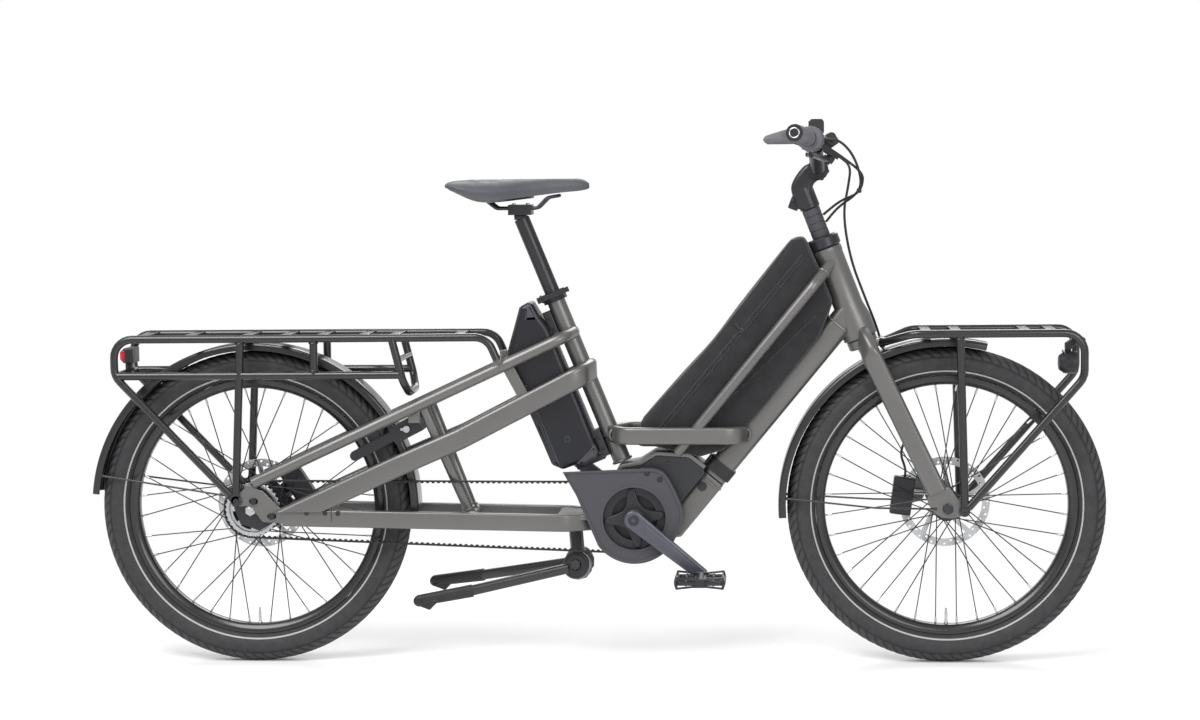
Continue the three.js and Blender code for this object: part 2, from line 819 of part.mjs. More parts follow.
function rotor() {
  const bandInner = rotorRadius - rotorBand;
  const step = 360 / rotorArms;
  const halfArm = (radius) => THREE.MathUtils.radToDeg(rotorArmWidth / 2 / radius);
  const windows = Array.from({ length: rotorArms }, (_, i) => {
    const from = i * step;
    const to = from + step;
    const inner = arc([0, 0], carrierRadius, from + halfArm(carrierRadius), to - halfArm(carrierRadius), 1);
    const outer = arc([0, 0], bandInner, to - halfArm(bandInner), from + halfArm(bandInner), 3);
    return [...inner, ...outer];
  });
  const bore = circle([0, 0], fitRadius(hubNeckRadius, drumSides), drumSides);
  const rim = circle([0, 0], rotorRadius, drumSides + rotorArms);
  return plate(rim, rotorThickness, rotorOffset, [...windows, bore]);
}

const caliperAt = (angle) =>
  P(Math.cos(rad(angle)), 0, Math.sin(rad(angle)))
    .multiplyScalar(rotorRadius - caliperDepth / 8)
    .setY(rotorOffset);

// A caliper straddles the disc's edge; angle is measured round the axle.
function caliper(angle) {
  const center = caliperAt(angle);
  const body = block(center, caliperDepth, caliperWidth, caliperLength, angle);
  const gap = (rotorRadius + runningGap) / Math.cos(Math.PI / drumSides);
  const disc = [[0, -rotorThickness], [gap, -rotorThickness], [gap, rotorThickness], [0, rotorThickness]];
  const slot = turned(disc, drumSides, P(0, rotorOffset, 0));
  return cut(body, slot);
}

function axleRod(radius, halfLength, nutFace) {
  const shaft = rod(P(0, -halfLength, 0), P(0, halfLength, 0), radius);
  const at = (y) => P(0, y, 0);
  const nut = (side) =>
    rod(at(side * nutFace), at(side * (nutFace + nutLength)), nutRadius, nutRadius, 6);
  return join(shaft, sides.map(nut));
}

function toothedRing(teeth, webInner, webFromOuterFace) {
  const pitchRadius = (teeth * beltPitch) / (2 * Math.PI);
  const tip = pitchRadius - clearance;
  const points = [];
  for (let i = 0; i < teeth; i++) {
    const angle = (2 * Math.PI * i) / teeth;
    const half = Math.PI / teeth;
    const root = tip - ringToothDepth;
    points.push([tip * Math.cos(angle), tip * Math.sin(angle)]);
    points.push([root * Math.cos(angle + half), root * Math.sin(angle + half)]);
  }
  const rimInner = tip - ringRimDepth;
  const rimRing = plate(points, beltWidth, beltPlane, [circle([0, 0], rimInner, drumSides)]);
  const webPlane = beltPlane - beltWidth / 2 + webFromOuterFace + ringWeb / 2;
  const webOuter = circle([0, 0], rimInner + clearance, drumSides);
  const web = plate(webOuter, ringWeb, webPlane, [circle([0, 0], webInner, drumSides)]);
  return join(rimRing, web);
}

// Belt: a loop round both rings
function belt() {
  const rear = (rearTeeth * beltPitch) / (2 * Math.PI);
  const front = (frontTeeth * beltPitch) / (2 * Math.PI);
  const rise = crankLevel - tyreRadius;
  const tilt = THREE.MathUtils.radToDeg(Math.atan2(rise, crankReach));
  const lean = THREE.MathUtils.radToDeg(Math.acos((rear - front) / Math.hypot(crankReach, rise)));
  const frontWrap = 2 * lean;
  const rearWrap = 360 - frontWrap;
  const loop = (frontRadius, rearRadius) => [
    ...arc(flat(crankAxis), frontRadius, tilt - lean, tilt + lean, beltSteps),
    ...arc(flat(rearAxle), rearRadius, tilt + lean, tilt + 360 - lean, beltSteps),
  ];
  const fit = (radius, wrap) => radius / Math.cos(rad(wrap / beltSteps / 2));
  const inner = loop(fit(front, frontWrap), fit(rear, rearWrap));
  return plate(loop(front + beltBack, rear + beltBack), beltWidth, beltPlane, [inner]);
}

// Main frame
const between = (from, to, share) => from.clone().lerp(to, share);
const bracketPath = placed(bracketShares, crankAxis, motorLength, motorHeight).map(([x, z]) => P(x, 0, z));

function headTube() {
  const length = headPoint(headTubeTop).distanceTo(headPoint(headTubeFoot));
  const profile = [
    [0, 0],
    [headTubeFootRadius, 0],
    [headTubeFootRadius, length / 5],
    [headTubeTopRadius, length / 3],
    [headTubeTopRadius, length],
    [0, length],
  ];
  return turned(profile, drumSides, headPoint(headTubeFoot), headUp);
}

function downTube(gap = 0) {
  const section = boxSection(downWidth + 2 * gap, downDepth + 2 * gap);
  return swept([downPoint(downTop), downPoint(downFoot)], section, acrossBike);
}
const bracket = (gap = 0) =>
  swept(bracketPath, boxSection(bracketWidth + 2 * gap, bracketWall + 2 * gap, 0), acrossBike);

function sideRail(side, radius = sideRailRadius) {
  const top = headPoint(sideRailTop);
  const foot = P(sideRailFootReach, 0, sideRailFoot);
  const [first, second, third] = sideRailShares;
  const corners = [
    atSide(top, side, sideRailTopOffset),
    atSide(between(top, foot, first), side, sideRailOffset),
    atSide(between(top, foot, second), side, sideRailOffset),
    atSide(between(top, foot, third), side, (sideRailOffset + railHalfSpacing) / 2),
    atSide(foot, side, sideRailFootOffset),
  ];
  return tube(corners, radius, railBend, railSides);
}

function stepRail(side) {
  const rear = seatPoint(stepRailLevel);
  const front = P(stepRailFront, 0, stepRailLevel);
  const corners = [
    atSide(rear, side, railEndOffset),
    atSide(P(rear.x + railBend, 0, stepRailLevel), side, railHalfSpacing),
    atSide(P(front.x - railBend, 0, stepRailLevel), side, railHalfSpacing),
    atSide(front, side, railEndOffset),
  ];
  return swept(rounded(corners, railBend), boxSection(stepRailWidth, stepRailHeight), acrossBike);
}

function upperStay(side) {
  const rear = P(upperStayRearReach, 0, upperStayRear);
  const front = seatPoint(upperStayFront);
  const at = (share, offset) => atSide(between(rear, front, share), side, offset);
  const [straight, inward, bend, end] = upperStayShares;
  const corners = [
    at(0, stayRearSpacing),
    at(straight, stayRearSpacing),
    at(inward, stayHalfSpacing),
    at(bend, stayHalfSpacing),
    at(end, railEndOffset),
  ];
  return tube(corners, upperStayRadius, stayBend, railSides);
}

function lowerStay(side) {
  const bend = P(lowerStayBendReach, 0, lowerStayBendLevel);
  const front = seatPoint(lowerStayFront);
  const [turn, end] = lowerStayShares;
  const corners = [
    P(lowerStayRearReach, side * stayRearSpacing, lowerStayRear),
    P(lowerStayMiddleReach, side * stayRearSpacing, lowerStayMiddle),
    atSide(bend, side, stayHalfSpacing),
    atSide(between(bend, front, turn), side, stayHalfSpacing),
    atSide(between(bend, front, end), side, railEndOffset),
  ];
  return swept(rounded(corners, stayBend), boxSection(lowerStayWidth, lowerStayHeight), acrossBike);
}

function chainstay(side) {
  const rear = P(chainstayRearReach, 0, chainstayRear);
  const front = P(chainstayFrontReach, 0, chainstayFront);
  const [straight, turn] = chainstayShares;
  const end = P(bracketPath[0].x - bracketWall / 6, side * chainstayEndOffset, front.z);
  const corners = [
    atSide(rear, side, chainstayHalfSpacing),
    atSide(between(rear, front, straight), side, chainstayHalfSpacing),
    atSide(between(rear, front, turn), side, chainstayTurnOffset),
    end,
  ];
  return swept(rounded(corners, stayBend), boxSection(chainstayWidth, chainstayHeight, 0), acrossBike);
}

function stayBraces(side) {
  const brace = rod(
    P(braceTopReach, side * braceTopOffset, braceTopLevel),
    P(braceFootReach, side * braceFootOffset, braceFootLevel),
    braceRadius,
    braceRadius,
    railSides,
  );
  const upperLevel = upperStayRear + gussetTopReach * ((upperStayFront - upperStayRear) / seatReach);
  const foot = P(gussetFootReach, side * gussetOffset, (lowerStayBendLevel + lowerStayFront) / 2);
  const strip = [P(gussetTopReach, side * gussetOffset, upperLevel), foot];
  const gusset = swept(strip, boxSection(gussetThickness, gussetWidth, 0), acrossBike);
  const lugEnd = rackHalfSpacing - rackTube - clearance;
  const lugMiddle = P(rearRackFront, (side * (stayHalfSpacing + lugEnd)) / 2, rearRackFrontLevel - overrun);
  const lug = block(lugMiddle, rackLugLength, lugEnd - stayHalfSpacing, rackLugHeight);
  const lockTop = lockAt(lockOuter);
  const tabWidth = stayHalfSpacing - lockHalfWidth - clearance;
  const tabMiddle = side * (lockHalfWidth + clearance + tabWidth / 2);
  const tabCenter = P(lockTop.x - lockTabLength / 3, tabMiddle, lockTop.z + lockTabHeight / 2);
  const tab = block(tabCenter, lockTabLength, tabWidth, lockTabHeight);
  return [brace, gusset, lug, tab];
}

function dropoutPlate(side) {
  const slots = dropoutBoltShares.map(([u, v]) => {
    const x = rearAxle.x + u * dropoutReach;
    const z = rearAxle.z + v * dropoutReach;
    const reach = (slotLength - slotWidth) / 2;
    const half = slotWidth / 2;
    return [...arc([x + reach, z], half, -90, 90, 2), ...arc([x - reach, z], half, 90, 270, 2)];
  });
  const outline = placed(dropoutShares, rearAxle, dropoutReach);
  const whole = plate(outline, dropoutThickness, side * dropoutOffset, slots);
  const notchReach = dropoutThickness + overrun;
  const notch = rod(
    P(0, side * (dropoutOffset - notchReach), tyreRadius),
    P(0, side * (dropoutOffset + notchReach), tyreRadius),
    nutRadius + 2 * clearance,
  );
  return cut(whole, notch);
}

function crossTube(reach, level, halfWidth, radius) {
  return rod(P(reach, -halfWidth, level), P(reach, halfWidth, level), radius, radius, railSides);
}

function mainFrame() {
  const pairs = sides.flatMap((side) => [
    sideRail(side),
    stepRail(side),
    upperStay(side),
    lowerStay(side),
    chainstay(side),
    ...stayBraces(side),
    dropoutPlate(side),
  ]);
  const seatFoot = P(bracketPath[1].x, 0, bracketPath[1].z);
  const seatTube = rod(seatFoot.setX(seatPoint(seatFoot.z).x), seatPoint(seatTubeTop), seatTubeRadius);
  const standPlate = block(
    P(standPlateReach, 0, standPlateLevel),
    standPlateLength,
    standPlateWidth,
    standPlateThickness,
  );
  const solid = join(
    headTube(),
    downTube(),
    seatTube,
    bracket(),
    pairs,
    crossTube(bridgeReach, braceTopLevel + bridgeRadius, stayHalfSpacing, bridgeRadius),
    crossTube(braceFootReach, braceFootLevel, chainstayHalfSpacing, braceRadius),
    standPlate,
  );
  const steererBore = rod(
    along(headPoint(headTubeFoot), headUp, -overrun),
    along(headPoint(headTubeTop), headUp, overrun),
    fitRadius(steererRadius),
  );
  const postBore = rod(
    seatPoint(seatTubeBoreFoot),
    along(seatPoint(seatTubeTop), seatUp, overrun),
    fitRadius(seatpostRadius),
  );
  return cut(solid, steererBore, postBore);
}

function dropoutInsert(side) {
  const outline = placed(insertShares, rearAxle, insertReach);
  const axleHole = circle([rearAxle.x, rearAxle.z], fitRadius(rearAxleRadius));
  const body = plate(outline, insertThickness, side * insertOffset, [axleHole]);
  const outerFace = dropoutOffset + dropoutThickness / 2 + clearance;
  const bolts = dropoutBoltShares.flatMap(([u, v]) => {
    const at = (y) => P(rearAxle.x + u * dropoutReach, side * y, rearAxle.z + v * dropoutReach);
    return [
      rod(at(insertOffset), at(outerFace + boltHead), boltRadius, boltRadius, railSides),
      rod(at(outerFace), at(outerFace + boltHead), boltHeadRadius, boltHeadRadius, 6),
    ];
  });
  if (side < 0) return join(body, bolts);
  const padDepth = insertOffset - padInnerFace;
  const pad = plate(placed(brakePadShares, rearAxle, insertReach), padDepth, padInnerFace + padDepth / 2);
  return join(body, bolts, pad);
}

// Motor, its covers and the belt guard
const downFront = P(downUp.z, 0, -downUp.x);
const downAt = (distance, offset) =>
  along(along(downPoint(downFoot), downUp, distance), downFront, offset);

function inset(points, distance) {
  const route = new Route(points, acrossBike);
  const { binormals } = route.computeFrenetFrames(points.length - 1);
  return points.map((point, i) => flat(along(point, binormals[i], -distance)));
}

function motorUnit() {
  const front = downDepth / 2 - coverDepth - clearance;
  const outline = [
    ...inset(bracketPath, bracketWall / 2 + clearance),
    flat(downAt(-overrun, front)),
    flat(downAt(-coverLength, front)),
    ...placed(motorFootShares, crankAxis, motorLength, motorHeight),
  ];
  const bore = circle(flat(crankAxis), fitRadius(spindleRadius));
  return plate(outline, motorWidth, 0, [bore]);
}

function motorCover() {
  const outer = downDepth / 2;
  const inner = outer - coverDepth;
  const corner = coverDepth / 4;
  const outline = [
    downAt(-clearance, inner),
    downAt(-clearance, outer),
    downAt(corner - coverLength, outer),
    downAt(-coverLength, outer - corner),
    downAt(-coverLength, inner + corner),
    downAt(corner - coverLength, inner),
  ];
  return cut(plate(outline.map(flat), coverWidth, 0, [], bracketWall / 2), bracket(clearance));
}

function beltGuard() {
  const center = flat(crankAxis);
  const corners = placed(guardShares, crankAxis, guardRadius);
  const rim = arc(center, guardRadius, guardArcStart, guardArcEnd, 10);
  const lipRim = arc(center, guardRadius, guardArcStart, guardLipEnd, 9);
  const opening = circle(center, guardOpening, drumSides);
  const face = plate([...corners, ...rim], guardThickness, guardPlane, [opening]);
  const lipInner = arc(center, guardRadius - guardLipWall, guardLipEnd, guardArcStart, 9);
  const topInner = corners.slice(2).reverse().map(([x, z]) => {
    const reach = Math.hypot(x - center[0], z - center[1]);
    const share = 1 - guardLipWall / reach;
    return [center[0] + (x - center[0]) * share, center[1] + (z - center[1]) * share];
  });
  const lipOutline = [...corners.slice(2), ...lipRim, ...lipInner, ...topInner];
  const lip = plate(lipOutline, guardLip, guardPlane + guardLip / 2);
  const bossEnd = -motorWidth / 2 - clearance;
  const bosses = placed(guardBossShares, crankAxis, guardRadius).map(([x, z]) =>
    rod(P(x, guardPlane, z), P(x, bossEnd, z), guardBossRadius, guardBossRadius, railSides),
  );
  return join(face, lip, bosses);
}

// Cranks, drawn level round the crank axis; the group turns them to their angle.
const guardSideFace = beltPlane - beltWidth / 2 - clearance;

function crankArm(side) {
  const tip = -side * crankLength;
  const boss = arc([0, 0], crankBossRadius, 90, 270, 8).map(([x, z]) => [-side * x, z]);
  const eye = arc([crankLength, 0], crankEyeRadius, -90, 90, 8).map(([x, z]) => [-side * x, z]);
  const arm = plate([...boss, ...eye], crankThickness, side * (crankInnerFace + crankThickness / 2));
  const pedalEnd = pedalOffset + pedalWidth / 2 - pedalBar - clearance;
  const pedalAxle = rod(
    P(tip, side * (crankInnerFace + crankThickness / 2), 0),
    P(tip, side * pedalEnd, 0),
    pedalAxleRadius,
  );
  return join(arm, pedalAxle);
}

function rightCrank() {
  const spindle = rod(P(0, -crankInnerFace, 0), P(0, crankInnerFace + crankThickness, 0), spindleRadius);
  const plane = guardSideFace - spiderThickness / 2;
  const arms = [45, 135, 225, 315].map((angle) => {
    const reach = P(Math.cos(rad(angle)), 0, Math.sin(rad(angle))).multiplyScalar(spiderRadius / 2);
    const length = spiderRadius + spiderArmWidth / 2;
    return block(P(reach.x, plane, reach.z), length, spiderThickness, spiderArmWidth, angle);
  });
  const boss = rod(P(0, guardSideFace, 0), P(0, -crankInnerFace - clearance, 0), crankBossRadius);
  return join(spindle, arms, boss, crankArm(-1));
}

function leftCrank() {
  const bore = rod(P(0, 0, 0), P(0, crankInnerFace + crankThickness + overrun, 0), fitRadius(spindleRadius));
  return cut(crankArm(1), bore);
}

// A pedal, drawn round its own axle; side tells which way its closed end faces.
function pedal(side) {
  const body = block(P(0, 0, 0), pedalLength, pedalWidth, pedalHeight);
  const windowLength = pedalLength / 2 - pedalBar - pedalBarrelRadius;
  const windowMiddle = pedalBarrelRadius + windowLength / 2;
  const windows = sides.map((end) =>
    block(P(end * windowMiddle, 0, 0), windowLength, pedalWidth - 2 * pedalBar, pedalHeight + overrun),
  );
  const closedFace = pedalWidth / 2 - pedalBar;
  const bore = rod(
    P(0, -side * (pedalWidth / 2 + overrun), 0),
    P(0, side * closedFace, 0),
    fitRadius(pedalAxleRadius),
  );
  return cut(body, windows, bore);
}

// Battery, its holder and the frame bag
const batteryAt = (reach, rise) =>
  along(along(seatPoint(batteryTop), seatFront, reach - batterySetback), seatUp, rise);

function rearBattery() {
  const outline = batteryShares.map(([u, v]) => flat(batteryAt(u * batteryDepth, v * batteryLength)));
  return plate(outline, batteryWidth, 0, [], bagBevel);
}

function batteryHolder() {
  const front = batterySetback - seatTubeRadius - clearance;
  const top = -batteryLength / 8;
  const foot = -batteryLength * batteryFootShare - clearance;
  const back = batteryTopShare * batteryDepth + clearance;
  const slab = (rear, face, high, low, width) => {
    const corners = [[rear, high], [face, high], [face, low], [rear, low]];
    return plate(corners.map(([reach, rise]) => flat(batteryAt(reach, rise))), width, 0);
  };
  const strip = slab(back, front, top, foot - holderDrop, holderStripWidth);
  const head = slab(back, front, top, top - holderHeadLength, holderStripWidth * 2);
  const shelf = slab(front - holderFootLength, front, foot, foot - holderDrop, holderFootDepth);
  return join(strip, head, shelf);
}

function frameBag() {
  const outline = placed(bagShares, P(bagRearReach, 0, bagFoot), bagLength, bagHeight);
  const whole = plate(outline, bagWidth, 0, [], bagBevel);
  const head = rod(
    along(headPoint(headTubeFoot), headUp, -overrun),
    along(headPoint(headTubeTop), headUp, headTubeFootRadius),
    fitRadius(headTubeFootRadius),
  );
  const rails = sides.map((side) => sideRail(side, sideRailRadius + 2 * clearance));
  return cut(whole, head, downTube(clearance), bracket(clearance), rails);
}

// Seat
function seatClamp() {
  const tubeBore = fitRadius(seatTubeRadius);
  const postBore = fitRadius(seatpostRadius);
  const step = seatPoint(seatTubeTop).distanceTo(seatPoint(seatCollarFoot)) + clearance;
  const outer = tubeBore + seatCollarWall;
  const height = Math.max(seatCollarHeight, step + seatCollarWall);
  const profile = [
    [tubeBore, 0],
    [outer, 0],
    [outer, height],
    [postBore, height],
    [postBore, step],
    [tubeBore, step],
  ];
  const collar = turned(profile, tubeSides, seatPoint(seatCollarFoot), seatUp);
  const earMiddle = along(seatPoint(seatEarLevel), seatFront, -seatEarReach);
  const ears = block(earMiddle, seatEarLength, seatEarWidth, seatEarLength, seatAngle - 90);
  const skewerEnd = atSide(earMiddle, -1, seatLeverOffset - seatLeverRadius - clearance);
  const skewer = rod(skewerEnd, atSide(earMiddle, 1, seatEarWidth / 2 + nutLength / 2), seatLeverRadius / 2);
  return join(collar, ears, skewer);
}

const seatLeverPivot = atSide(along(seatPoint(seatEarLevel), seatFront, -seatEarReach), -1, seatLeverOffset);

function seatClampLever() {
  const half = seatUp.clone().multiplyScalar(seatLeverHeight / 2);
  const cam = rod(seatLeverPivot.clone().sub(half), seatLeverPivot.clone().add(half), seatLeverRadius);
  const middle = along(seatLeverPivot, seatFront, seatLeverLength / 2);
  const handle = block(middle, seatLeverLength, seatLeverRadius, seatLeverWidth, 90 - seatAngle);
  return join(cam, handle);
}

function seatpost() {
  const top = seatPoint(seatpostTop);
  const clampFoot = saddleClampLevel - saddleClampHeight / 2 - clearance;
  const head = block(
    P(saddleClampReach, 0, clampFoot - seatpostHeadDepth / 2),
    seatpostHeadWidth + overrun,
    seatpostHeadWidth,
    seatpostHeadDepth,
  );
  return join(rod(along(top, seatUp, -seatpostLength), along(top, seatUp, -overrun), seatpostRadius), head);
}

function railCorners() {
  const spread = saddleRailSpacing / 2;
  const underside = saddleLevel - saddleDepth - clearance - saddleRailRadius;
  const rear = saddleRearReach + saddleLength * railRearShare;
  const nose = saddleRearReach + saddleLength * railNoseShare;
  const clampFront = saddleClampReach + saddleClampLength * (3 / 4);
  const clampRear = saddleClampReach - saddleClampLength;
  const half = (side) => [
    P(rear, side * spread, underside),
    P(clampRear, side * spread, saddleRailLevel),
    P(clampFront, side * spread, saddleRailLevel),
    P(nose - spread, side * spread, underside - saddleRailRadius),
    P(nose, (side * spread) / 2, underside),
  ];
  return [...half(-1), ...half(1).reverse()];
}
const saddleRails = (radius) => tube(railCorners(), radius, saddleRailRadius * 3, 6);

function saddleClamp() {
  const body = block(
    P(saddleClampReach, 0, saddleClampLevel),
    saddleClampLength,
    saddleClampWidth,
    saddleClampHeight,
  );
  return cut(body, saddleRails(fitRadius(saddleRailRadius, 6)));
}

// Joins rows of points into a closed skin; each row goes once round.
function lofted(rows) {
  const around = rows[0].length;
  const positions = rows.flat().flatMap((point) => point.toArray());
  const faces = [];
  for (let row = 0; row < rows.length - 1; row++) {
    for (let i = 0; i < around; i++) {
      const next = (i + 1) % around;
      const here = row * around;
      const there = here + around;
      faces.push(here + i, there + i, there + next, here + i, there + next, here + next);
    }
  }
  const last = (rows.length - 1) * around;
  for (let i = 1; i < around - 1; i++) {
    faces.push(0, i, i + 1);
    faces.push(last, last + i + 1, last + i);
  }
  const geometry = new THREE.BufferGeometry();
  geometry.setAttribute("position", new THREE.Float32BufferAttribute(positions, 3));
  geometry.setIndex(faces);
  return toSolid(geometry);
}

function saddle() {
  const mirrored = saddleSectionShares.map(([y, v, skirt]) => [-y, v, skirt]).reverse();
  const section = [...saddleSectionShares, [0, 1, 0], ...mirrored];
  const rows = saddleStationShares.map(([u, width, drop, hang, groove]) =>
    section.map(([y, v, skirt]) => {
      const channel = y === 0 ? groove * saddleGroove : 0;
      const foot = saddleLevel - saddleDepth - skirt * hang * saddleSkirt;
      const top = saddleLevel - drop * saddleDepth;
      const bottom = v > 0 && skirt === 0 ? saddleLevel - saddleDepth : foot;
      const half = Math.max((width * saddleWidth) / 2, (y * saddleNoseWidth) / 8);
      return P(saddleRearReach + u * saddleLength, y * half, bottom + v * (top - bottom) - channel);
    }),
  );
  return lofted(rows);
}

// Rear rack and what it carries
const rackEye = P(rackFootReach, 0, rackFootLevel);

function rearRack() {
  const side = (end) => {
    const at = (x, z) => P(x, end * rackHalfSpacing, z);
    const foot = at(rackFootReach, rackFootLevel);
    const tail = at(rearRackTail, rearRackLower);
    const inward = foot.clone().sub(tail).normalize();
    const rail = tube(
      [
        at(rearRackFront, rearRackFrontLevel),
        at(rearRackFront - rackBend / 2, rearRackLevel),
        at(rearRackTail, rearRackLevel),
        tail,
        along(foot, inward, -rackFootGap),
      ],
      rackTube,
      rackBend,
      rackSides,
    );
    const eye = plate(circle(flat(rackEye), rackEyeRadius, 10), rackEyeThickness, end * rackEyeOffset);
    const neckTop = rackFootLevel + rackFootGap;
    const legTop = at(rackLegReach, rearRackLevel);
    const legFoot = at(rackFootReach, neckTop);
    const gusset = plate(
      [
        [rackEye.x + rackEyeRadius / 2, rackEye.z],
        [rackEye.x + rackTube, neckTop + rackTube],
        [rackEye.x - rackTube, neckTop + rackTube],
        [rackEye.x - rackFootGap - rackTube, rackEye.z + rackFootGap + rackTube],
        [rackEye.x - rackFootGap, rackEye.z + rackTube],
        [rackEye.x - rackEyeRadius / 2, rackEye.z - rackTube],
      ],
      rackEyeThickness,
      end * rackEyeOffset,
    );
    const hoopShare = (rearRackLevel - rearRackLower) / (rearRackLevel - hoopFootLevel);
    const lowerFront = hoopTopReach + (hoopFootReach - hoopTopReach) * hoopShare;
    return [
      rail,
      eye,
      gusset,
      rod(legTop, legFoot, rackTube, rackTube, rackSides),
      rod(at(rearRackTail, rearRackLower), at(lowerFront, rearRackLower), rackTube, rackTube, rackSides),
      rod(at(rackPostReach, rearRackLevel), at(rackPostReach, rearRackLower), rackTube, rackTube, rackSides),
    ];
  };
  const hoopHalf = (end) => [
    P(hoopTopReach, end * rackHalfSpacing, rearRackLevel),
    P(hoopFootReach - rackTube, end * rackHalfSpacing, hoopKnee),
    P(hoopFootReach, end * hoopHalfWidth, hoopFootLevel),
  ];
  const hoop = tube([...hoopHalf(-1), ...hoopHalf(1).reverse()], rackTube, rackTube * 2, rackSides);
  const slats = rearSlatReachShares.map((share) =>
    block(
      P(-share * rearRackTail, 0, rearRackLevel + slatThickness / 2 + clearance),
      slatWidth,
      2 * rackHalfSpacing,
      slatThickness,
    ),
  );
  const tailBar = crossTube(rearRackTail + overrun, rearRackLower, rackHalfSpacing, rackTube);
  const bracketFoot = rearRackLower - rackTube / 2;
  const lampBracket = block(
    P(tailBracketReach, 0, (tailBracketTop + bracketFoot) / 2),
    slatWidth,
    tailLightWidth / 2,
    tailBracketTop - bracketFoot,
  );
  return join(sides.flatMap(side), hoop, slats, tailBar, lampBracket);
}

function tailLight() {
  const foot = tailBracketTop + clearance;
  const rear = tailBracketReach - tailLightDepth / 2;
  const front = rear + tailLightDepth;
  const chamfer = tailLightHeight / 4;
  const outline = [
    [rear, foot + chamfer],
    [rear, foot + tailLightHeight - chamfer],
    [rear + chamfer, foot + tailLightHeight],
    [front, foot + tailLightHeight],
    [front, foot],
    [rear + chamfer, foot],
  ];
  return plate(outline, tailLightWidth, 0, [], tailLightHeight / 6);
}

// Mudguards, drawn round their own axle
function guardPath(start, end) {
  const steps = Math.round(Math.abs(end - start) / guardStep);
  return arc([0, 0], guardOuterRadius, start, end, steps).map(([x, z]) => P(x, 0, z));
}

function mudguard(start, end, wires) {
  const wide = guardHalfWidth;
  const shoulder = guardHalfWidth - guardDepth / 3;
  const drop = guardDepth / 3;
  const inner = wide - guardWall;
  const section = [
    [wide, -guardDepth], [wide, -drop], [shoulder, 0], [-shoulder, 0], [-wide, -drop], [-wide, -guardDepth],
    [-inner, -guardDepth], [-shoulder, -guardWall], [shoulder, -guardWall], [inner, -guardDepth],
  ];
  return join(swept(guardPath(start, end), section, acrossBike), wires);
}

function guardRoom(start, end) {
  const wide = guardHalfWidth + clearance;
  const low = -guardDepth - overrun;
  const section = [[wide, low], [wide, clearance], [-wide, clearance], [-wide, low]];
  return swept(guardPath(start, end), section, acrossBike);
}

function guardWires(startAngle, end, bend) {
  return sides.map((side) => {
    const [[x, z]] = arc([0, 0], guardOuterRadius - guardDepth, startAngle, startAngle, 1);
    const corners = [P(x, side * (guardHalfWidth - guardWall / 2), z)];
    if (bend) corners.push(atSide(bend, side, bend.y));
    corners.push(atSide(end, side, end.y));
    return tube(corners, wireRadius, wireRadius * 4, 6);
  });
}

function rearMudguard() {
  const offset = insertOffset + insertThickness / 2 - wireRadius;
  const end = P(rackFootReach, offset, rackFootLevel - tyreRadius + rackEyeRadius / 2);
  return mudguard(rearGuardStart, rearGuardEnd, guardWires(168, end));
}

const forkOuterFace = forkHalfSpacing + forkDropThickness / 2;

function frontMudguard() {
  const end = P(forkAnkleReach - wheelbase, forkOuterFace + clearance + wireRadius, 0);
  const bend = P(-wireBendReach, forkOuterFace, wireRadius);
  return mudguard(frontGuardStart, frontGuardEnd, guardWires(177, end, bend));
}

// Ring lock
const lockDirection = P(Math.cos(rad(lockAngle)), 0, Math.sin(rad(lockAngle)));
const lockAt = (radius, y = 0) => along(P(rearAxle.x, y, rearAxle.z), lockDirection, radius);

function ringLock() {
  const bodyInner = guardOuterRadius - guardDepth;
  const bodyLength = lockOuter - bodyInner;
  const middle = lockAt(bodyInner + bodyLength / 2);
  const body = block(middle, bodyLength, 2 * lockHalfWidth, lockBodyDepth, lockAngle);
  const armMiddle = lockHalfWidth - lockArmThickness / 2;
  const arms = sides.flatMap((side) => {
    const length = bodyInner + lockArmWidth - lockInner;
    const face = side * armMiddle;
    const center = lockAt(lockInner + length / 2, face);
    const arm = block(center, length, lockArmThickness, lockArmWidth, lockAngle);
    const tipHalf = lockArmThickness / 2;
    const tip = rod(
      lockAt(lockInner, face - tipHalf),
      lockAt(lockInner, face + tipHalf),
      lockArmWidth / 2,
    );
    return [arm, tip];
  });
  return cut(join(body, arms), place(guardRoom(rearGuardStart, rearGuardEnd), rearAxle));
}

function place(solid, at) {
  return solid.translate(at.toArray());
}

const barrelCenter = lockAt(lockOuter - lockBodyDepth * (5 / 6), -lockHalfWidth - clearance);

function lockBarrel() {
  const face = barrelCenter;
  const end = atSide(face, -1, lockHalfWidth + clearance + lockKeyWidth);
  const cap = rod(face, end, lockBarrelRadius);
  const key = block(
    P(face.x - lockKeyLength / 4, end.y, face.z),
    lockKeyLength,
    lockKeyWidth / 2,
    lockKeyWidth,
  );
  return join(cap, key);
}

// Stand
const standHub = (side) => P(standPivotReach, side * standAxisOffset, standAxisLevel);
const standAxisOf = (side) => {
  const [x, y, z] = standTiltShares;
  return P(x, -side * y, z).normalize();
};

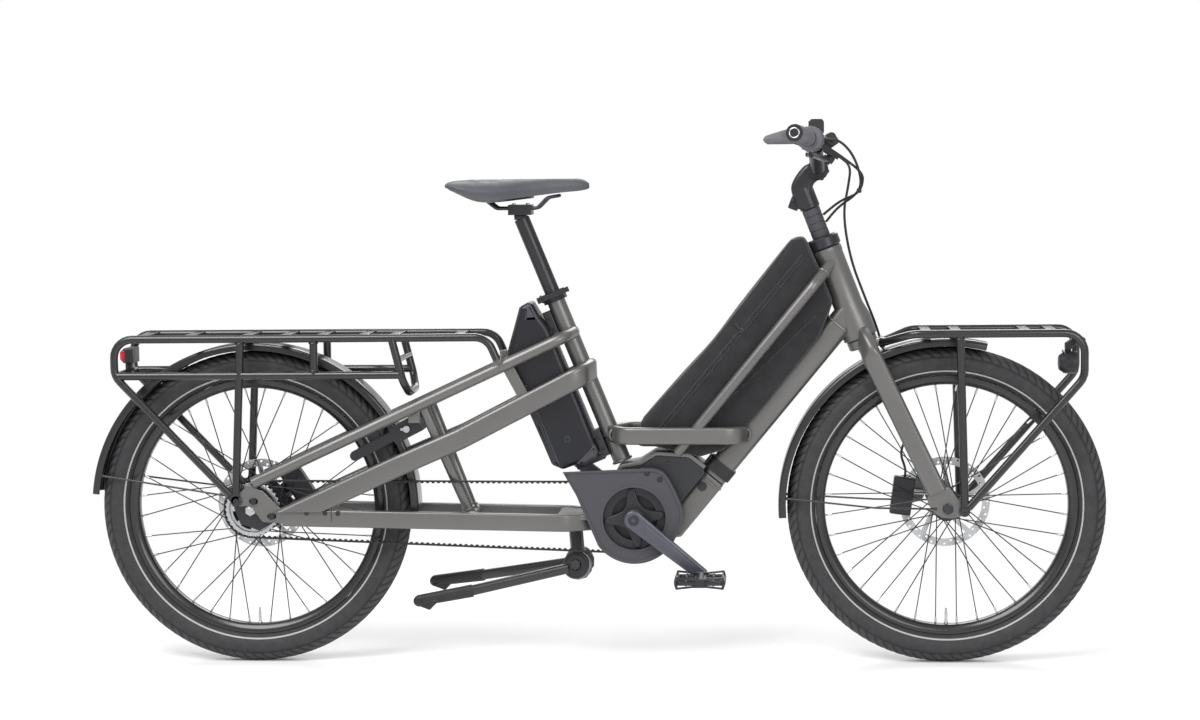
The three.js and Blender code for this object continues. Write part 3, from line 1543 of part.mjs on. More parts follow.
function standBracket() {
  const top = standPlateLevel - standPlateThickness / 2 - clearance;
  const flange = block(
    P(standPlateReach, 0, top - standFlangeThickness / 2),
    standFlangeLength,
    standFlangeWidth,
    standFlangeThickness,
  );
  const middle = P(standPivotReach, 0, standAxisLevel);
  const flangeMiddle = P(standPlateReach, 0, top - standFlangeThickness / 2);
  const post = rod(flangeMiddle, middle, standPostRadius, standPostRadius, railSides);
  const parts = sides.flatMap((side) => {
    const hub = standHub(side);
    const axis = standAxisOf(side);
    const inner = along(hub, axis, -clearance - standDiscThickness);
    const discFace = along(hub, axis, -clearance);
    const outer = along(hub, axis, standDiscThickness + clearance);
    const headEnd = along(outer, axis, standHeadThickness);
    return [
      rod(inner, discFace, standDiscRadius, standDiscRadius, tubeSides),
      rod(middle, inner, standBodyRadius, standBodyRadius, rackSides),
      rod(inner, headEnd, standPivotRadius, standPivotRadius, railSides),
      rod(outer, headEnd, standHeadRadius, standHeadRadius, rackSides),
    ];
  });
  return join(flange, post, parts);
}

function standLeg(side) {
  const hub = standHub(side);
  const axis = standAxisOf(side);
  const rest = P(-standLegReach, side * standLegSpread, -standLegDrop);
  const flatRest = rest.clone().addScaledVector(axis, -rest.dot(axis)).normalize();
  const disc = rod(hub, along(hub, axis, standDiscThickness), standDiscRadius, standDiscRadius, tubeSides);
  const start = along(along(hub, axis, standLegRadius + clearance), flatRest, standDiscRadius * (3 / 4));
  const heel = hub.clone().add(rest);
  const toe = heel.clone().add(P(-standFootReach, 0, standFootRise));
  const leg = rod(start, heel, standLegRadius, standLegRadius, railSides);
  const foot = rod(along(heel, heel.clone().sub(toe).normalize(), standFootRadius / 2), toe, standFootRadius);
  const face = along(hub, axis, standDiscThickness);
  const outside = along(hub, axis, standDiscThickness * 2);
  const head = rod(face, outside, standHeadRadius + clearance);
  const pinRoom = fitRadius(standPivotRadius, railSides);
  const bore = rod(along(hub, axis, -overrun), outside, pinRoom, pinRoom, railSides);
  return cut(join(disc, leg, foot), head, bore);
}

// Fork
const legFoot = P(forkAnkleReach, 0, forkAnkle);
const legTop = P(forkTopReach, 0, forkShoulder - forkCrownLevel + forkShoulder);
const legDown = legFoot.clone().sub(legTop).normalize();
const legFront = P(-legDown.z, 0, legDown.x);

function forkLeg(side) {
  const crown = headPoint(forkCrownLevel);
  const knee = between(legTop, legFoot, 1 / 15);
  const corners = [
    crown,
    atSide(headPoint(forkShoulder), side, forkShoulderOffset),
    atSide(knee, side, forkHalfSpacing),
    atSide(legFoot, side, forkHalfSpacing),
  ];
  const leg = swept(rounded(corners, stayBend), boxSection(forkLegDepth, forkLegWidth), legFront);
  const hole = circle(flat(frontAxle), fitRadius(frontAxleRadius));
  const outline = placed(forkDropShares, frontAxle, forkLegDepth);
  return [leg, plate(outline, forkDropThickness, side * forkHalfSpacing, [hole])];
}

function fork() {
  const crown = headPoint(forkCrownLevel);
  const headFoot = along(headPoint(headTubeFoot), headUp, -clearance);
  const race = rod(crown, headFoot, crownRaceRadius);
  const steerer = rod(crown, headPoint(stemClampTop), steererRadius);
  const toAxle = frontAxle.clone().sub(crown).normalize();
  const stemFoot = along(frontAxle, toAxle, guardDepth - guardOuterRadius);
  const guardBoss = rod(crown, stemFoot, forkStemRadius);
  const mouth = P(frontRackRear - mouthDepth / 2, 0, frontRackRearLevel);
  const bossEnd = frontRackRear - mouthDepth - clearance;
  const boss = block(
    P(bossEnd - forkBossLength, 0, mouth.z),
    forkBossLength * 2,
    2 * frontRackMouth,
    mouthHeight * (3 / 4),
  );
  const brakeMount = plate(
    placed(forkBrakeShares, frontAxle, forkLegDepth),
    forkDropThickness / 2,
    padInnerFace + forkDropThickness / 4,
  );
  const solid = join(sides.flatMap(forkLeg), race, steerer, guardBoss, boss, brakeMount);
  return cut(solid, place(guardRoom(frontGuardStart, frontGuardEnd), frontAxle));
}

// Front rack and headlight
const lampPin = P(headlightReach, 0, lampPinLevel);

function frontRack() {
  const side = (end) => {
    const at = (x, z, y = rackHalfSpacing) => P(x, end * y, z);
    const foot = at(frontRackFootReach, frontRackFootLevel);
    const drop = at(frontRackFront, frontRackDrop);
    const upward = drop.clone().sub(foot).normalize();
    const rail = tube(
      [
        at(frontRackRear - mouthDepth / 2, frontRackRearLevel, frontRackMouth),
        at(frontRackShoulder, frontRackLevel),
        at(frontRackFront, frontRackLevel),
        drop,
        along(foot, upward, rackFootGap / 2),
      ],
      rackTube,
      rackBend,
      rackSides,
    );
    const legEnd = along(foot, P(0, 0, 1), rackFootGap / 2);
    const leg = rod(at(frontRackLegReach, frontRackLevel), legEnd, rackTube, rackTube, rackSides);
    const eyeOffset = forkOuterFace + clearance + rackEyeThickness / 2;
    const eye = plate(circle([foot.x, foot.z], rackEyeRadius, 10), rackEyeThickness, end * eyeOffset);
    return [rail, leg, eye];
  };
  const mouth = block(
    P(frontRackRear - mouthDepth / 2, 0, frontRackRearLevel),
    mouthDepth,
    2 * frontRackMouth + rackTube,
    mouthHeight,
  );
  const slats = frontSlatReachShares.map((share) =>
    block(
      P(
        frontRackShoulder + share * (frontRackFront - frontRackShoulder),
        0,
        frontRackLevel + slatThickness / 2 + clearance,
      ),
      slatWidth,
      2 * rackHalfSpacing,
      slatThickness,
    ),
  );
  const barLevel = frontRackLevel - lampBarDrop;
  const bar = crossTube(frontRackFront - overrun, barLevel, rackHalfSpacing, rackTube * (3 / 4));
  const cheekOffset = lampEarWidth / 2 + clearance + lampCheekThickness / 2;
  const cheeks = sides.map((end) => {
    const outline = [
      [lampPin.x - lampEarLength / 2, lampCheekFoot],
      [lampPin.x + lampEarLength / 2, lampCheekFoot],
      [frontRackFront - overrun + rackTube / 2, barLevel - rackTube / 4],
      [frontRackFront - overrun - rackTube / 2, barLevel + rackTube / 2],
      [lampPin.x - lampEarLength / 2, lampPin.z + lampEarLength / 2],
    ];
    return plate(outline, lampCheekThickness, end * cheekOffset);
  });
  const pinHalf = cheekOffset + lampCheekThickness / 2;
  const pin = rod(atSide(lampPin, -1, pinHalf), atSide(lampPin, 1, pinHalf), lampPinRadius);
  return join(sides.flatMap(side), mouth, slats, bar, cheeks, pin);
}

function headlight() {
  const nose = headlightReach + headlightLength / 2;
  const rear = nose - headlightLength;
  const profile = [
    [0, 0],
    [headlightRadius * (2 / 3), 0],
    [headlightRadius, headlightLength / 3],
    [headlightRadius, headlightLength],
    [0, headlightLength],
  ];
  const body = turned(profile, drumSides, P(rear, 0, headlightLevel), P(1, 0, 0));
  const earTop = lampPin.z + lampEarLength / 2;
  const ear = block(
    P(lampPin.x, 0, (earTop + headlightLevel) / 2),
    lampEarLength,
    lampEarWidth,
    earTop - headlightLevel,
  );
  const pinRoom = fitRadius(lampPinRadius);
  const bore = rod(atSide(lampPin, -1, lampEarWidth), atSide(lampPin, 1, lampEarWidth), pinRoom);
  return cut(join(body, ear), bore);
}

// Steering column
const columnSleeve = (from, to, outer) => sleeve(from, to, fitRadius(steererRadius), outer, tubeSides);
const collarFoot = along(headPoint(headTubeTop), headUp, clearance);
const collarTop = along(collarFoot, headUp, collarHeight);
const headsetCover = () => columnSleeve(collarFoot, collarTop, collarRadius);
const spacers = () => columnSleeve(along(collarTop, headUp, clearance), headPoint(spacerTop), spacerRadius);
const barCenter = P(barClampReach, 0, barClampLevel);

function stem() {
  const foot = along(headPoint(spacerTop), headUp, clearance);
  const top = headPoint(stemClampTop);
  const collar = rod(foot, along(top, headUp, overrun), stemRadius);
  const neckFoot = between(foot, top, 1 / 2);
  const neckUp = barCenter.clone().sub(neckFoot).normalize();
  const neck = rod(neckFoot, along(barCenter, neckUp, -barClampRadius / 2), stemNeckRadius);
  const ears = block(
    along(between(foot, top, 1 / 2), headFront, -stemEarReach + stemEarLength / 4),
    stemEarLength,
    stemEarWidth,
    stemEarHeight,
    headAngle - 90,
  );
  const clampHalf = barClampWidth / 2;
  const clamp = rod(atSide(barCenter, -1, clampHalf), atSide(barCenter, 1, clampHalf), barClampRadius);
  const columnRoom = fitRadius(steererRadius);
  const steererBore = rod(along(foot, headUp, -overrun), along(top, headUp, clearance), columnRoom);
  const barBore = rod(
    atSide(barCenter, -1, clampHalf + overrun),
    atSide(barCenter, 1, clampHalf + overrun),
    fitRadius(riserRadius),
  );
  return cut(join(collar, neck, ears, clamp), steererBore, barBore);
}

// Handlebar
const barShoulder = (side) => P(riserTopReach, side * riserTop, riserTopLevel);
const barEnd = (side) => P(barEndReach, side * barHalfWidth, barEndLevel);
const barOut = (side) => barEnd(side).sub(barShoulder(side)).normalize();
// The point of the bar that lies a given way from the middle
const barAt = (side, offset) =>
  between(barShoulder(side), barEnd(side), (offset - riserTop) / (barHalfWidth - riserTop));

function handlebar() {
  const half = (side) => [barEnd(side), barShoulder(side), atSide(barCenter, side, riserFoot)];
  const bar = tube([...half(-1), ...half(1).reverse()], barRadius, riserRadius * (3 / 2), tubeSides);
  const middle = rod(atSide(barCenter, -1, riserFoot), atSide(barCenter, 1, riserFoot), riserRadius);
  return join(bar, middle);
}

function onBar(side, from, to, outer) {
  return sleeve(barAt(side, from), barAt(side, to), fitRadius(barRadius), outer, tubeSides);
}

function grip(side) {
  const inner = barHalfWidth - gripLength;
  const body = rod(barAt(side, inner), barAt(side, barHalfWidth), gripRadius);
  const middle = barAt(side, inner + gripLength / 2);
  const outline = placed(wingShares, middle, wingLength, gripRadius * 2 - overrun);
  const wing = plate(outline, wingWidth, side * (inner + gripLength / 2));
  const far = overrun * 3;
  const bore = rod(barAt(side, inner - far), barAt(side, barHalfWidth + far), fitRadius(barRadius));
  return cut(join(body, wing), bore);
}

function shiftGrip() {
  const perchEnd = perchOffset + perchWidth / 2;
  return onBar(-1, perchEnd + clearance * 4, perchEnd + shifterLength, shifterRadius);
}

const leverPin = (side) => barAt(side, perchOffset).add(P(perchReach, 0, -perchDrop));

function brakePerch(side) {
  const half = perchWidth / 2;
  const ring = rod(barAt(side, perchOffset - half), barAt(side, perchOffset + half), perchRadius);
  const pin = leverPin(side);
  const barPoint = barAt(side, perchOffset);
  const reach = pin.clone().sub(barPoint).normalize();
  const body = block(
    along(barPoint, reach, (perchRadius + pin.distanceTo(barPoint)) / 2),
    pin.distanceTo(barPoint) + perchRadius / 2,
    perchWidth,
    leverThickness,
    THREE.MathUtils.radToDeg(Math.atan2(reach.z, reach.x)),
  );
  const up = P(-reach.z, 0, reach.x);
  const pivotTop = along(pin, up, leverThickness / 2);
  const pivotFoot = along(pin, up, -leverThickness * 2);
  const post = rod(pivotTop, pivotFoot, lampPinRadius * 2, lampPinRadius * 2, railSides);
  const boreFrom = barAt(side, perchOffset - perchWidth);
  const bore = rod(boreFrom, barAt(side, perchOffset + perchWidth), fitRadius(barRadius));
  return cut(join(ring, body, post), bore);
}

function brakeLever(side) {
  const pin = leverPin(side);
  const reach = pin.clone().sub(barAt(side, perchOffset)).normalize();
  const up = P(-reach.z, 0, reach.x);
  const drop = leverThickness + runningGap;
  const root = along(pin, up, -drop);
  const out = barOut(side);
  const back = P(-1, 0, 0);
  const corners = [
    along(root, out, -leverThickness / 2),
    along(along(root, out, leverLength / 4), back, -leverWidth),
    along(along(root, out, leverLength), back, leverWidth),
  ];
  const blade = swept(rounded(corners, leverLength / 6), boxSection(leverThickness, leverWidth), P(0, 0, 1));
  const boss = rod(along(root, up, leverThickness / 2), along(root, up, -leverThickness / 2), leverWidth);
  const half = leverThickness / 2 + overrun;
  const pinRoom = fitRadius(lampPinRadius * 2, railSides);
  const bore = rod(along(root, up, half), along(root, up, -half), pinRoom, pinRoom, railSides);
  return cut(join(blade, boss), bore);
}

function display() {
  const middle = P(displayReach, 0, displayLevel);
  const body = block(middle, displayDepth, displayWidth, displayHeight, 90 - headAngle);
  const inner = barClampWidth / 2 + clearance;
  const outer = inner + lampEarLength / 2;
  const arms = sides.flatMap((side) => {
    const from = atSide(barCenter, side, inner);
    const to = atSide(barCenter, side, outer);
    const ring = between(from, to, 1 / 2);
    const top = P(displayReach, ring.y, displayLevel - displayHeight / 4);
    const foot = P(ring.x, ring.y, barCenter.z + riserRadius + lampEarWidth / 2);
    return [
      sleeve(from, to, fitRadius(riserRadius), riserRadius + lampEarWidth, tubeSides),
      rod(foot, top, lampEarWidth / 2, lampEarWidth / 2, railSides),
    ];
  });
  return join(body, arms);
}

// Hoses and cables; these points follow the bike as it stands.
const steerPoint = (level, front, left) => along(headPoint(level, left), headFront, front);
const perchSocket = (side) =>
  leverPin(side).setY(side * (perchOffset - perchWidth)).add(P(perchReach / 3, 0, -perchWidth / 4));

function controlCables() {
  const hose = tube(
    [
      perchSocket(-1),
      ...rightHoseRoute.map(([x, y, z]) => P(x, y, z)),
      ...rightHoseEnd.map((place) => steerPoint(...place)),
    ],
    hoseRadius,
    loopBend,
  );
  const cableRoute = [
    ...rightCableRoute.map(([x, y, z]) => P(x, y, z)),
    ...rightCableEnd.map((place) => steerPoint(...place)),
  ];
  const cable = tube(cableRoute, hoseRadius, loopBend);
  const clip = block(P(...hoseClip), leverWidth, leverThickness * 2, leverWidth);
  return join(hose, cable, clip);
}

function frontHose() {
  const endUp = P(Math.sin(rad(frontCaliperAngle)), 0, -Math.cos(rad(frontCaliperAngle)));
  const caliperTop = along(caliperAt(frontCaliperAngle).add(frontAxle), endUp, caliperLength / 2);
  const lead = hoseRadius * 6;
  const corners = [
    perchSocket(1),
    ...leftHoseRoute.map(([x, y, z]) => P(x, y, z)),
    along(caliperTop, endUp, lead),
    along(caliperTop, endUp, clearance),
  ];
  return tube(corners, hoseRadius, loopBend);
}

// The whole bike, drawn from the rear axle and moved so that the origin lies under its middle
const tail = rearAxle.x - guardOuterRadius;
const nose = frontAxle.x + tyreRadius;
const body = group(bike, P(-(tail + nose) / 2, 0, 0));
const rearWheel = group(body, rearAxle);
const crankSet = group(body, crankAxis);
crankSet.rotation.y = -rad(crankAngle);
const steered = group(body, P(0, 0, 0));
const frontWheel = group(steered, frontAxle);

piece(body, "main_frame", mainFrame(), framePaint);
for (const side of sides) {
  const name = sideName(side);
  piece(body, "dropout_" + name, dropoutInsert(side), satinBlack);
  const pedalAngle = rad(crankAngle) + (side > 0 ? Math.PI : 0);
  const at = P(Math.cos(pedalAngle), 0, Math.sin(pedalAngle)).multiplyScalar(crankLength).add(crankAxis);
  piece(group(body, atSide(at, side, pedalOffset)), "pedal_" + name, pedal(side), satinBlack);
  piece(body, "kickstand_leg_" + name, standLeg(side), satinBlack);
  piece(steered, "grip_" + name, grip(side), gripRubber);
  piece(steered, "brake_perch_" + name, brakePerch(side), castBlack);
  piece(steered, "brake_lever_" + name, brakeLever(side), satinBlack);
}
piece(body, "motor_unit", motorUnit(), castBlack);
piece(body, "motor_cover", motorCover(), framePaint);
piece(body, "belt_guard", beltGuard(), guardGrey);
piece(body, "belt", belt(), hoseBlack);
piece(crankSet, "belt_ring", toothedRing(frontTeeth, spiderRadius - spiderArmWidth / 2, 0), castBlack);
piece(crankSet, "crank_right", rightCrank(), satinBlack);
piece(crankSet, "crank_left", leftCrank(), satinBlack);
piece(body, "rear_battery", rearBattery(), batteryShell);
piece(body, "battery_mount", batteryHolder(), castBlack);
piece(body, "frame_bag", frameBag(), bagCloth);
piece(body, "seat_clamp", seatClamp(), satinBlack);
piece(body, "seat_clamp_lever", seatClampLever(), satinBlack);
piece(body, "seatpost", seatpost(), satinBlack);
piece(body, "saddle_clamp", saddleClamp(), satinBlack);
piece(body, "saddle_rails", saddleRails(saddleRailRadius), bareSteel);
piece(body, "saddle", saddle(), saddleSkin);
piece(body, "rear_rack", rearRack(), satinBlack);
piece(body, "tail_light", tailLight(), redLens);
piece(body, "ring_lock", ringLock(), castBlack);
piece(body, "lock_barrel", lockBarrel(), bareSteel);
piece(body, "kickstand_bracket", standBracket(), castBlack);
piece(body, "headset_cover", headsetCover(), satinBlack);

const rearNutFace = insertOffset + insertThickness / 2 + clearance;
const sprocketBore = fitRadius(hubNeckRadius, drumSides);
piece(rearWheel, "rear_mudguard", rearMudguard(), satinBlack);
const rearAxleEnd = rearNutFace + nutLength + overrun;
piece(rearWheel, "rear_axle", axleRod(rearAxleRadius, rearAxleEnd, rearNutFace), bareSteel);
piece(rearWheel, "rear_hub", rearHub(), castBlack);
piece(rearWheel, "rear_rim", rim(), satinBlack);
piece(rearWheel, "rear_tyre", tyre(), tyreRubber);
const sprocket = toothedRing(rearTeeth, sprocketBore, beltWidth - ringWeb);
piece(rearWheel, "rear_sprocket", sprocket, bareSteel);
piece(rearWheel, "rear_rotor", rotor(), bareSteel);
piece(rearWheel, "rear_caliper", caliper(rearCaliperAngle), castBlack);

const frontNutFace = forkOuterFace + clearance;
piece(frontWheel, "front_mudguard", frontMudguard(), satinBlack);
piece(frontWheel, "front_axle", axleRod(frontAxleRadius, frontNutFace + nutLength, frontNutFace), bareSteel);
piece(frontWheel, "front_hub", frontHub(), castBlack);
piece(frontWheel, "front_rim", rim(), satinBlack);
piece(frontWheel, "front_tyre", tyre(), tyreRubber);
piece(frontWheel, "front_rotor", rotor(), bareSteel);
piece(frontWheel, "front_caliper", caliper(frontCaliperAngle), castBlack);

piece(steered, "fork", fork(), framePaint);
piece(steered, "front_rack", frontRack(), satinBlack);
piece(steered, "headlight", headlight(), castBlack);
piece(steered, "steerer_spacers", spacers(), satinBlack);
piece(steered, "stem", stem(), satinBlack);
piece(steered, "handlebar", handlebar(), satinBlack);
piece(steered, "shift_grip", shiftGrip(), gripRubber);
piece(steered, "display", display(), satinBlack);
piece(steered, "control_cables", controlCables(), hoseBlack);
piece(steered, "front_brake_hose", frontHose(), hoseBlack);

export default bike;
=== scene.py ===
"""Longtail cargo bike: smooth shapes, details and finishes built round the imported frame."""

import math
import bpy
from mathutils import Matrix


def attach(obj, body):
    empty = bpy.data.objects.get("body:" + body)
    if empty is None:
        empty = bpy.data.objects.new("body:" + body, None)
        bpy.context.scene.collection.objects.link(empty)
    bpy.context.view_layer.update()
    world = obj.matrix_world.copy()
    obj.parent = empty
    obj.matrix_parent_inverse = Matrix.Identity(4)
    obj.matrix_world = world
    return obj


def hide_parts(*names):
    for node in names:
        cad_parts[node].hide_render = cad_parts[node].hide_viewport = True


bl_info = {
    "name": "Longtail Cargo Bike",
    "version": (1, 0, 0),
    "blender": (4, 5, 0),
    "location": "View3D > Sidebar > Bike",
    "description": "Builds a longtail cargo bike piece by piece round its frame",
    "category": "Object",
}

from contextlib import contextmanager

import bpy
import numpy as np
from mathutils import Matrix, Vector
from mathutils.noise import noise as fold_noise

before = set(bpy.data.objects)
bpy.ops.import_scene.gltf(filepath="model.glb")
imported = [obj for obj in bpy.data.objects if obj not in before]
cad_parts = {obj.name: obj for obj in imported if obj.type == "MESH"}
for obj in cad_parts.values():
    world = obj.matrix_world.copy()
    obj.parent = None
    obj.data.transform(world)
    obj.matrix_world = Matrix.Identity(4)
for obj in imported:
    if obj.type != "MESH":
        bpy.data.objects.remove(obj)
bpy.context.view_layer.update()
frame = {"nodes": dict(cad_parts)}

# Places are in millimetres from the rear axle's foot on the ground: +X forward, +Y left, +Z up
SHIFT = 680.25
BOTH = (-1, 1)
SIDES = ((-1, "right"), (1, "left"))
REAR = Vector((0, 0, 313.5))
FRONT = Vector((1378, 0, 313.5))
WHEELS = (("rear", REAR), ("front", FRONT))
TYRE_RING = 283.5
TYRE_ROUND = 30
CRANK = Vector((763.5, 0, 295))
CRANK_ANGLE = math.radians(-39)
CRANK_LENGTH = 170
BELT_PITCH = 11
BELT_MIDDLE = -49
RACK_SIDE = 78
REAR_EYE, FRONT_EYE = (-27, 333), (1410, 309)
REAR_DECK, LOW_RAIL, FRONT_DECK = 656, 583, 657
HEAD_ANGLE, SEAT_ANGLE, DOWN_ANGLE = (math.radians(angle) for angle in (69, 68, 50.4))


def linear(red, green, blue):
    """A colour seen as 0 to 255, as the renderer's linear light."""
    return tuple((c / 255 / 12.92) if c < 11 else ((c / 255 + 0.055) / 1.055) ** 2.4 for c in (red, green, blue))


def colour(name, description, *value):
    return bpy.props.FloatVectorProperty(
        name=name, description=description, subtype="COLOR", size=3, min=0, max=1, default=linear(*value)
    )


def length(name, description, millimetres):
    return bpy.props.FloatProperty(
        name=name, description=description, unit="LENGTH", default=millimetres / 1000, min=0.0001, precision=4
    )


class BikeColours(bpy.types.PropertyGroup):
    """Colours of the bike's finishes"""

    frame: colour("Frame", "Satin metallic paint of frame and fork", 110, 109, 108)
    racks: colour("Racks", "Powder coat of racks and stand", 23, 23, 26)
    alloy: colour("Alloy", "Anodised small parts", 44, 44, 48)
    casing: colour("Casing", "Moulded black parts", 36, 37, 41)
    guard: colour("Belt guard", "Moulded belt guard", 61, 61, 67)
    battery: colour("Battery", "Moulded battery case", 16, 17, 25)
    tyre: colour("Tyre", "Tyre rubber", 44, 44, 46)
    stripe: colour("Stripe", "Light stripe round the tyres", 168, 168, 166)
    grip: colour("Grip", "Grip rubber", 102, 102, 106)
    cloth: colour("Cloth", "Frame bag's cloth", 25, 25, 28)
    panel: colour("Panel", "Frame bag's top panel", 38, 38, 42)
    saddle: colour("Saddle", "Saddle cover", 74, 75, 80)
    steel: colour("Steel", "Bare steel and bright alloy", 196, 197, 199)
    arm: colour("Crank arms", "Graphite grey of the crank arms", 84, 85, 94)
    lens: colour("Lens", "Red rear lens", 176, 22, 30)


class BikeSizes(bpy.types.PropertyGroup):
    """Sizes of the bike's smaller details"""

    tread: length("Tread depth", "Depth of the tyre's grooves", 2.4)
    spoke: length("Spoke radius", "Radius of a spoke", 1.15)
    rail: length("Side rail radius", "Radius of the rails beside the bag", 11)
    stay: length("Upper stay radius", "Radius of the upper stays", 12)
    rack: length("Rack tube radius", "Radius of the rack tubes", 8)
    wire: length("Wire radius", "Radius of the mudguard wires", 1.9)
    hose: length("Hose radius", "Radius of the brake hoses and cables", 2.5)
    weld: length("Weld radius", "Radius of a weld bead", 2.6)
    slat: length("Slat width", "Width of the racks' flat cross bars", 20)


class BikeStage(bpy.types.PropertyGroup):
    """The studio"""

    floor: length("Floor", "Length of the floor's sides", 30000)
    key: bpy.props.FloatProperty(name="Key light", description="Power of the large lamp", default=190, min=0)
    fill: bpy.props.FloatProperty(name="Fill light", description="Power of the front lamp", default=80, min=0)
    sky: bpy.props.FloatProperty(name="Sky", description="Strength of the light from all round", default=0.62, min=0)


def colours():
    return bpy.context.scene.bike_colours


def sizes():
    return bpy.context.scene.bike_sizes


# Placing and finishing


def P(x, y, z):
    return Vector((x, y, z))


def metres(point):
    """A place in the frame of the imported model, from one in millimetres."""
    return Vector(((point[0] - SHIFT) / 1000, point[1] / 1000, point[2] / 1000))


def only(*objects):
    """Selects these objects alone; the first is active."""
    bpy.ops.object.select_all(action="DESELECT")
    for obj in objects:
        obj.select_set(True)
    bpy.context.view_layer.objects.active = objects[0]


def settle(obj):
    """Puts the object's place and turn into its mesh."""
    only(obj)
    bpy.ops.object.transform_apply(location=True, rotation=True, scale=True)
    return obj


def painted(made, shade):
    """Gives a piece, or each piece of a list, the named finish."""
    for piece in made if isinstance(made, list) else [made]:
        piece.data.materials.clear()
        piece.data.materials.append(finish(shade))
    return made


def joined(pieces, shade=None):
    """Makes one piece of several, in the named finish if there is one."""
    if shade:
        painted(pieces, shade)
    if len(pieces) > 1:
        only(*pieces)
        bpy.ops.object.join()
    return pieces[0]


def done(made, name, body, stands_for=None, shade=None, angle=38):
    """Joins and names a finished piece, gives it its finish and hangs it on its body."""
    obj = settle(joined(made if isinstance(made, list) else [made], shade))
    obj.name = name
    obj.data.name = name
    bpy.ops.object.shade_smooth_by_angle(angle=math.radians(angle))
    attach(obj, body)
    if stands_for:
        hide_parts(stands_for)


def modifier(obj, name, kind, **settings):
    """Adds a modifier with its settings."""
    made = obj.modifiers.new(name, kind)
    for key, value in settings.items():
        setattr(made, key, value)
    return made


def modified(obj, name, kind, **settings):
    """Adds a modifier and applies it."""
    only(obj)
    bpy.ops.object.modifier_apply(modifier=modifier(obj, name, kind, **settings).name)


def dressed(node, shade, edge):
    """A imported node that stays: its edges are softened and it gets its finish."""
    obj = painted(frame["nodes"][node], shade)
    modifier(obj, "Merge", "WELD", merge_threshold=0.00002)
    soft = {"width": edge / 1000, "segments": 2}
    modifier(obj, "Soft edges", "BEVEL", limit_method="ANGLE", angle_limit=math.radians(28), **soft)


@contextmanager
def editing(obj):
    """Edit mode on one piece, with all of it selected."""
    only(obj)
    bpy.ops.object.mode_set(mode="EDIT")
    bpy.ops.mesh.select_all(action="SELECT")
    yield
    bpy.ops.object.mode_set(mode="OBJECT")


# Shapes


def rounded(corners, radius, step=12):
    """A line of points whose corners are rounded."""
    corners = [Vector(c) for c in corners]
    points = [corners[0]]
    for before, here, after in zip(corners, corners[1:], corners[2:]):
        back = before - here
        ahead = after - here
        turn = math.pi - back.angle(ahead)
        if turn < math.radians(2):
            points.append(here)
            continue
        reach = min(radius * math.tan(turn / 2), min(back.length, ahead.length) / 2)
        back.normalize()
        ahead.normalize()
        to_center = reach / math.tan(turn / 2) / math.cos(turn / 2)
        center = here + (back + ahead).normalized() * to_center
        arm = here + back * reach - center
        axis = (-back).cross(ahead).normalized()
        count = max(2, round(math.degrees(turn) / step))
        for i in range(count + 1):
            points.append(Matrix.Rotation(turn * i / count, 3, axis) @ arm + center)
    points.append(corners[-1])
    return points


def eased(points, turns=3):
    """Cuts each corner again and again, so a route of straight runs becomes one smooth line."""
    for _ in range(turns):
        made = [points[0]]
        for a, b in zip(points, points[1:]):
            made += [a.lerp(b, 0.25), a.lerp(b, 0.75)]
        made[1:2] = []
        made[-1:] = []
        points = [*made, points[-1]]
    return points


def drawn(points, cyclic=False, flat=False):
    """A curve object through the points, which are in metres."""
    bpy.ops.curve.primitive_bezier_curve_add(location=(0, 0, 0))
    obj = bpy.context.object
    obj.data.splines.clear()
    obj.data.dimensions = "2D" if flat else "3D"
    add_line(obj, points, cyclic)
    return obj


def add_line(obj, points, cyclic=True):
    line = obj.data.splines.new("POLY")
    line.points.add(len(points) - 1)
    for spot, point in zip(line.points, points):
        spot.co = (point[0], point[1], point[2] if len(point) > 2 else 0, 1)
    line.use_cyclic_u = cyclic


def meshed(obj):
    only(obj)
    bpy.ops.object.convert(target="MESH")
    return bpy.context.object


def tube(corners, radius, bend=38, sides=16):
    """A round tube along the corners, in millimetres."""
    obj = drawn([metres(p) for p in rounded(corners, bend)])
    obj.data.bevel_depth = radius / 1000
    obj.data.bevel_resolution = sides // 2 - 2
    obj.data.use_fill_caps = True
    return meshed(obj)


def soft_box(width, height, corner):
    """Round-cornered outline of a box tube, in metres, with four steps to a corner."""
    points = []
    for i, (x, y) in enumerate(((1, 1), (-1, 1), (-1, -1), (1, -1))):
        for step in range(5):
            turn = math.radians(90 * i + 22.5 * step)
            across = x * (width / 2 - corner) + corner * math.cos(turn)
            along = y * (height / 2 - corner) + corner * math.sin(turn)
            points.append((across / 1000, along / 1000))
    return points


def bar(corners, width, height, corner, bend=34, narrow=1.0):
    """A box tube along the corners: width lies across the bike, height in the side view."""
    outline = drawn(soft_box(width, height, corner), True, True)
    points = [metres(p) for p in rounded(corners, bend)]
    obj = drawn(points)
    for i, spot in enumerate(obj.data.splines[0].points):
        spot.radius = 1 + (narrow - 1) * i / (len(points) - 1)
    obj.data.bevel_mode = "OBJECT"
    obj.data.bevel_object = outline
    obj.data.twist_mode = "Z_UP"
    obj.data.use_fill_caps = True
    made = meshed(obj)
    bpy.data.objects.remove(outline)
    return made


def round_corners(outline, radius):
    """Rounds the corners of a closed outline in the side view."""
    ring = [Vector((x, 0, z)) for x, z in outline]
    points = rounded([ring[-1], *ring, ring[0]], radius, 15)[1:-1]
    return [(p.x, p.z) for p in points]


def arc(center, radius, start, end, steps):
    """Points of an arc between two angles, in the side view."""
    return [
        (center[0] + radius * math.cos(a), center[-1] + radius * math.sin(a))
        for a in (math.radians(start + (end - start) * i / steps) for i in range(steps + 1))
    ]


def circle(center, radius, count=32):
    return arc(center, radius, 0, 360, count)[:-1]


